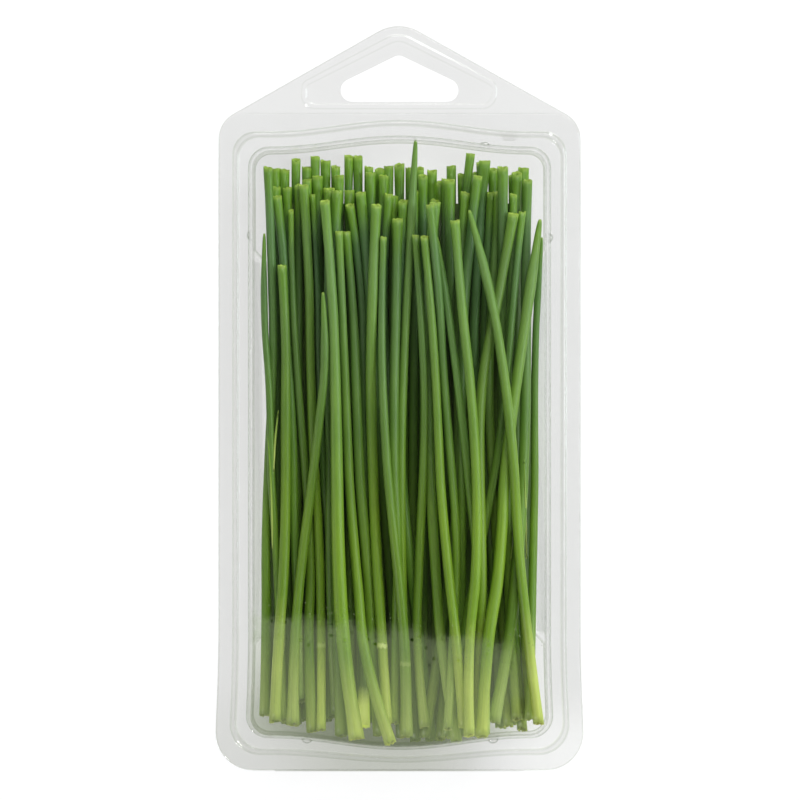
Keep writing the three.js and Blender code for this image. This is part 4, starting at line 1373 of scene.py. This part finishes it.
def add_camera(settings):
    """A long lens straight above the pack, taking in its view width at the pack's middle height."""
    lens = bpy.data.cameras.new("camera")
    lens.sensor_width = SENSOR_WIDTH
    middle = (TRAY_LOW.z + LID_HIGH.z) / 2
    lens.lens = lens.sensor_width * (settings.camera_distance - middle) / settings.view_width
    lens.clip_end = 20
    camera = bpy.data.objects.new("camera", lens)
    camera.location = (CAMERA_X * MM, CAMERA_Y * MM, settings.camera_distance)
    bpy.context.scene.collection.objects.link(camera)
    bpy.context.scene.camera = camera


# --------------------------------------------------- settings and operators

COLOUR = {"size": 3, "subtype": "COLOR"}
SHARE = {"min": 0.0, "max": 1.0, "subtype": "FACTOR"}


class PackSettings(bpy.types.PropertyGroup):
    """The clear pack's sheet and tints"""
    sheet: bpy.props.FloatProperty(
        name="Sheet thickness", description="Thickness of the formed plastic",
        default=0.4 * MM, min=0.1 * MM, max=SHEET * MM, unit="LENGTH", precision=5)
    tray_tint: bpy.props.FloatVectorProperty(
        name="Tray tint", description="Share of light that each face of the tray lets through",
        default=(0.914, 0.914, 0.91), **COLOUR)
    lid_tint: bpy.props.FloatVectorProperty(
        name="Lid tint", description="Share of light that each face of the lid lets through",
        default=(0.997, 0.998, 0.997), **COLOUR)
    # Painted shade at the middle of the tray's foot.
    foot_shade_tint: bpy.props.FloatVectorProperty(
        name="Foot tint", description="What the tray's tint turns to at the middle of its foot",
        default=(0.79, 0.8, 0.765), **COLOUR)
    mist: bpy.props.FloatProperty(
        name="Mist", description="How dense the film of mist is at the foot end of the lid",
        default=0.14, **SHARE)
    # The mist is pale; its green tint is painted light bounced up from the stems.
    mist_and_bounce_colour: bpy.props.FloatVectorProperty(
        name="Mist colour", description="Colour of the mist", default=(0.52, 0.62, 0.34), **COLOUR)
    # The dark film at the tray's foot is a painted shadow.
    painted_shadow: bpy.props.FloatProperty(
        name="Damp film", description="How dense the dark damp film is on the tray's floor at the foot",
        default=0.53, **SHARE)
    painted_shadow_colour: bpy.props.FloatVectorProperty(
        name="Damp colour", description="Colour of the damp film", default=(0.2, 0.22, 0.13), **COLOUR)


class StemSettings(bpy.types.PropertyGroup):
    """The stems' girth and skin"""
    plump: bpy.props.FloatProperty(
        name="Plumpness", description="Radius of a stem as a share of its solid's",
        default=1.05, min=0.8, max=1.15)
    foot_colour: bpy.props.FloatVectorProperty(
        name="Foot", description="Skin at the cut foot", default=linear("bed16c"), **COLOUR)
    low_colour: bpy.props.FloatVectorProperty(
        name="Lower stem", description="Skin of the lower half", default=linear("769d28"), **COLOUR)
    middle_colour: bpy.props.FloatVectorProperty(
        name="Middle", description="Skin of the middle", default=linear("6a9237"), **COLOUR)
    top_colour: bpy.props.FloatVectorProperty(
        name="Upper stem", description="Skin towards the head", default=linear("678f4c"), **COLOUR)
    head_colour: bpy.props.FloatVectorProperty(
        name="Head", description="Skin just below the cut head", default=linear("6c9a1a"), **COLOUR)
    rim_colour: bpy.props.FloatVectorProperty(
        name="Rim", description="Skin at the very edge of a cut head", default=linear("a8c456"), **COLOUR)
    scar_colour: bpy.props.FloatVectorProperty(
        name="Scar", description="Pale skin of scars and of one bleached foot",
        default=linear("f6fac0"), **COLOUR)


class StudioSettings(bpy.types.PropertyGroup):
    """The camera, the lights and the table top"""
    camera_distance: bpy.props.FloatProperty(
        name="Camera distance", description="Height of the camera over the floor", default=3.0, unit="LENGTH")
    view_width: bpy.props.FloatProperty(
        name="View width", description="Width that the camera takes in", default=0.2245, unit="LENGTH")
    key_power: bpy.props.FloatProperty(
        name="Key light", description="Power of the softbox at the upper right", default=14.5, unit="POWER")
    side_power: bpy.props.FloatProperty(
        name="Side light", description="Power of the cool softbox at the right", default=17.0, unit="POWER")
    fill_power: bpy.props.FloatProperty(
        name="Fill light", description="Power of the softbox at the left", default=1.7, unit="POWER")
    strip_power: bpy.props.FloatProperty(
        name="Strip light", description="Power of the upright strip at the upper right that sparks on bends",
        default=5.5, unit="POWER")
    spark_power: bpy.props.FloatProperty(
        name="Corner spark", description="Power of the small light that sparks on bends at the lower left",
        default=16.0, unit="POWER")
    air: bpy.props.FloatProperty(
        name="Studio walls", description="Brightness of the pale walls round the table", default=0.8)
    floor_tone: bpy.props.FloatProperty(
        name="Floor tone", description="How much light the table top returns", default=0.22, subtype="FACTOR")
    floor_glow: bpy.props.FloatProperty(
        name="Floor glow", description="How much light the table top gives", default=0.86)


class CHIVES_OT_pack_halves(bpy.types.Operator):
    """Forms the clear tray and lid with their beads, walls, tab and snap buttons"""
    bl_idname = "chives.pack_halves"
    bl_label = "Pack halves"

    def execute(self, context):
        settings = context.scene.chive_pack
        make_shell_tray(settings, tray_sheet_material(settings))
        make_shell_lid(settings, lid_sheet_material(settings))
        return {"FINISHED"}


class CHIVES_OT_fold(bpy.types.Operator):
    """Adds the creased sheet that joins the two halves"""
    bl_idname = "chives.fold"
    bl_label = "Fold"

    def execute(self, context):
        make_fold(context.scene.chive_pack, bpy.data.materials["clear_tray_sheet"])
        return {"FINISHED"}


class CHIVES_OT_front_stems(bpy.types.Operator):
    """Grows each front stem along the line of its solid"""
    bl_idname = "chives.front_stems"
    bl_label = "Front stems"

    def execute(self, context):
        settings = context.scene.chive_stems
        material = stem_material("chive_skin", settings, FRONT_SHADE)
        draws = Draws(FRONT_SEED)
        for order, node in enumerate(FRONT_NODES):
            depth = 1 - order / (len(FRONT_NODES) - 1)
            centres, radii = ring_table(node)
            centres[-1] += (centres[-1] - centres[-2]).normalized() * TIP_REACH.get(node, 0.0) * MM
            bm = new_stem_mesh()
            scar = SCARS.get(node, NO_SCAR)
            Stem(bm, centres, radii, draws, FRONT_SIDES, FRONT_STEP * MM, depth, settings, scar).grow()
            finish_stems(bm, node.replace("chive", "stem"), "chive_green", material, node)
        return {"FINISHED"}


class CHIVES_OT_slivers(bpy.types.Operator):
    """Lays a few loose slivers of leaf on the front stems"""
    bl_idname = "chives.slivers"
    bl_label = "Slivers"

    def execute(self, context):
        settings = context.scene.chive_stems
        surface = front_surface()
        draws = Draws(SLIVER_SEED)
        for number, sliver in enumerate(SLIVERS, 1):
            centres, radii = sliver_line(surface, sliver, draws)
            bm = new_stem_mesh()
            Stem(bm, centres, radii, draws, SLIVER_SIDES, SLIVER_STEP * MM, 0.0, settings).grow()
            finish_stems(bm, f"leaf_sliver_{number}", "chive_green", bpy.data.materials["chive_skin"])
        return {"FINISHED"}


class CHIVES_OT_rear_rows(bpy.types.Operator):
    """Grows the two rows of stems that lie behind the front ones"""
    bl_idname = "chives.rear_rows"
    bl_label = "Rear rows"

    def execute(self, context):
        settings = context.scene.chive_stems
        # The rear rows get a copy of the skin with painted shade.
        material = stem_material("chive_skin_shaded", settings, REAR_SHADE)
        draws = Draws(REAR_SEED)
        for row in ROWS:
            bm = new_stem_mesh()
            if row is ROWS[0]:
                add_bed(bm)
            for centres, radii in row_lines(row):
                Stem(bm, centres, radii, draws, REAR_SIDES, REAR_STEP * MM, 1.0, settings).grow()
            finish_stems(bm, row["name"].replace("chives", "stems"), "chive_shaded", material, row["name"])
        return {"FINISHED"}


class CHIVES_OT_studio(bpy.types.Operator):
    """Sets out the pale floor, the soft lights and the camera straight above the pack"""
    bl_idname = "chives.studio"
    bl_label = "Studio"

    def execute(self, context):
        settings = context.scene.chive_studio
        add_floor(settings)
        lamps = {}
        for name, (place, size, power) in SOFTBOXES.items():
            lamps[name] = add_softbox(name, place, size, getattr(settings, power))
        lamps["right_softbox"].data.color = COOL_LIGHT
        lamps["corner_spark"].visible_diffuse = False
        context.scene.world = studio_air(settings)
        context.scene.view_settings.view_transform = "Standard"
        add_camera(settings)
        return {"FINISHED"}


class CHIVES_PT_panel(bpy.types.Panel):
    """Lists the chive pack's pieces and sizes"""
    bl_label = "Chives"
    bl_idname = "CHIVES_PT_panel"
    bl_space_type = "VIEW_3D"
    bl_region_type = "UI"
    bl_category = "Chives"

    def draw(self, context):
        for operator in OPERATORS:
            self.layout.operator(operator.bl_idname)
        for group in (context.scene.chive_pack, context.scene.chive_stems, context.scene.chive_studio):
            box = self.layout.box()
            for key in group.bl_rna.properties.keys():
                if key not in {"rna_type", "name"}:
                    box.prop(group, key)


OPERATORS = (
    CHIVES_OT_pack_halves, CHIVES_OT_fold, CHIVES_OT_front_stems, CHIVES_OT_slivers, CHIVES_OT_rear_rows,
    CHIVES_OT_studio,
)
GROUPS = ((PackSettings, "chive_pack"), (StemSettings, "chive_stems"), (StudioSettings, "chive_studio"))


def register():
    for group, name in GROUPS:
        bpy.utils.register_class(group)
        setattr(bpy.types.Scene, name, bpy.props.PointerProperty(type=group))
    for operator in OPERATORS:
        bpy.utils.register_class(operator)
    bpy.utils.register_class(CHIVES_PT_panel)


def unregister():
    bpy.utils.unregister_class(CHIVES_PT_panel)
    for operator in reversed(OPERATORS):
        bpy.utils.unregister_class(operator)
    for group, name in reversed(GROUPS):
        delattr(bpy.types.Scene, name)
        bpy.utils.unregister_class(group)


def main():
    register()
    bpy.ops.chives.pack_halves()
    bpy.ops.chives.fold()
    bpy.ops.chives.front_stems()
    bpy.ops.chives.slivers()
    bpy.ops.chives.rear_rows()
    bpy.ops.chives.studio()


if __name__ == "__main__":
    main()
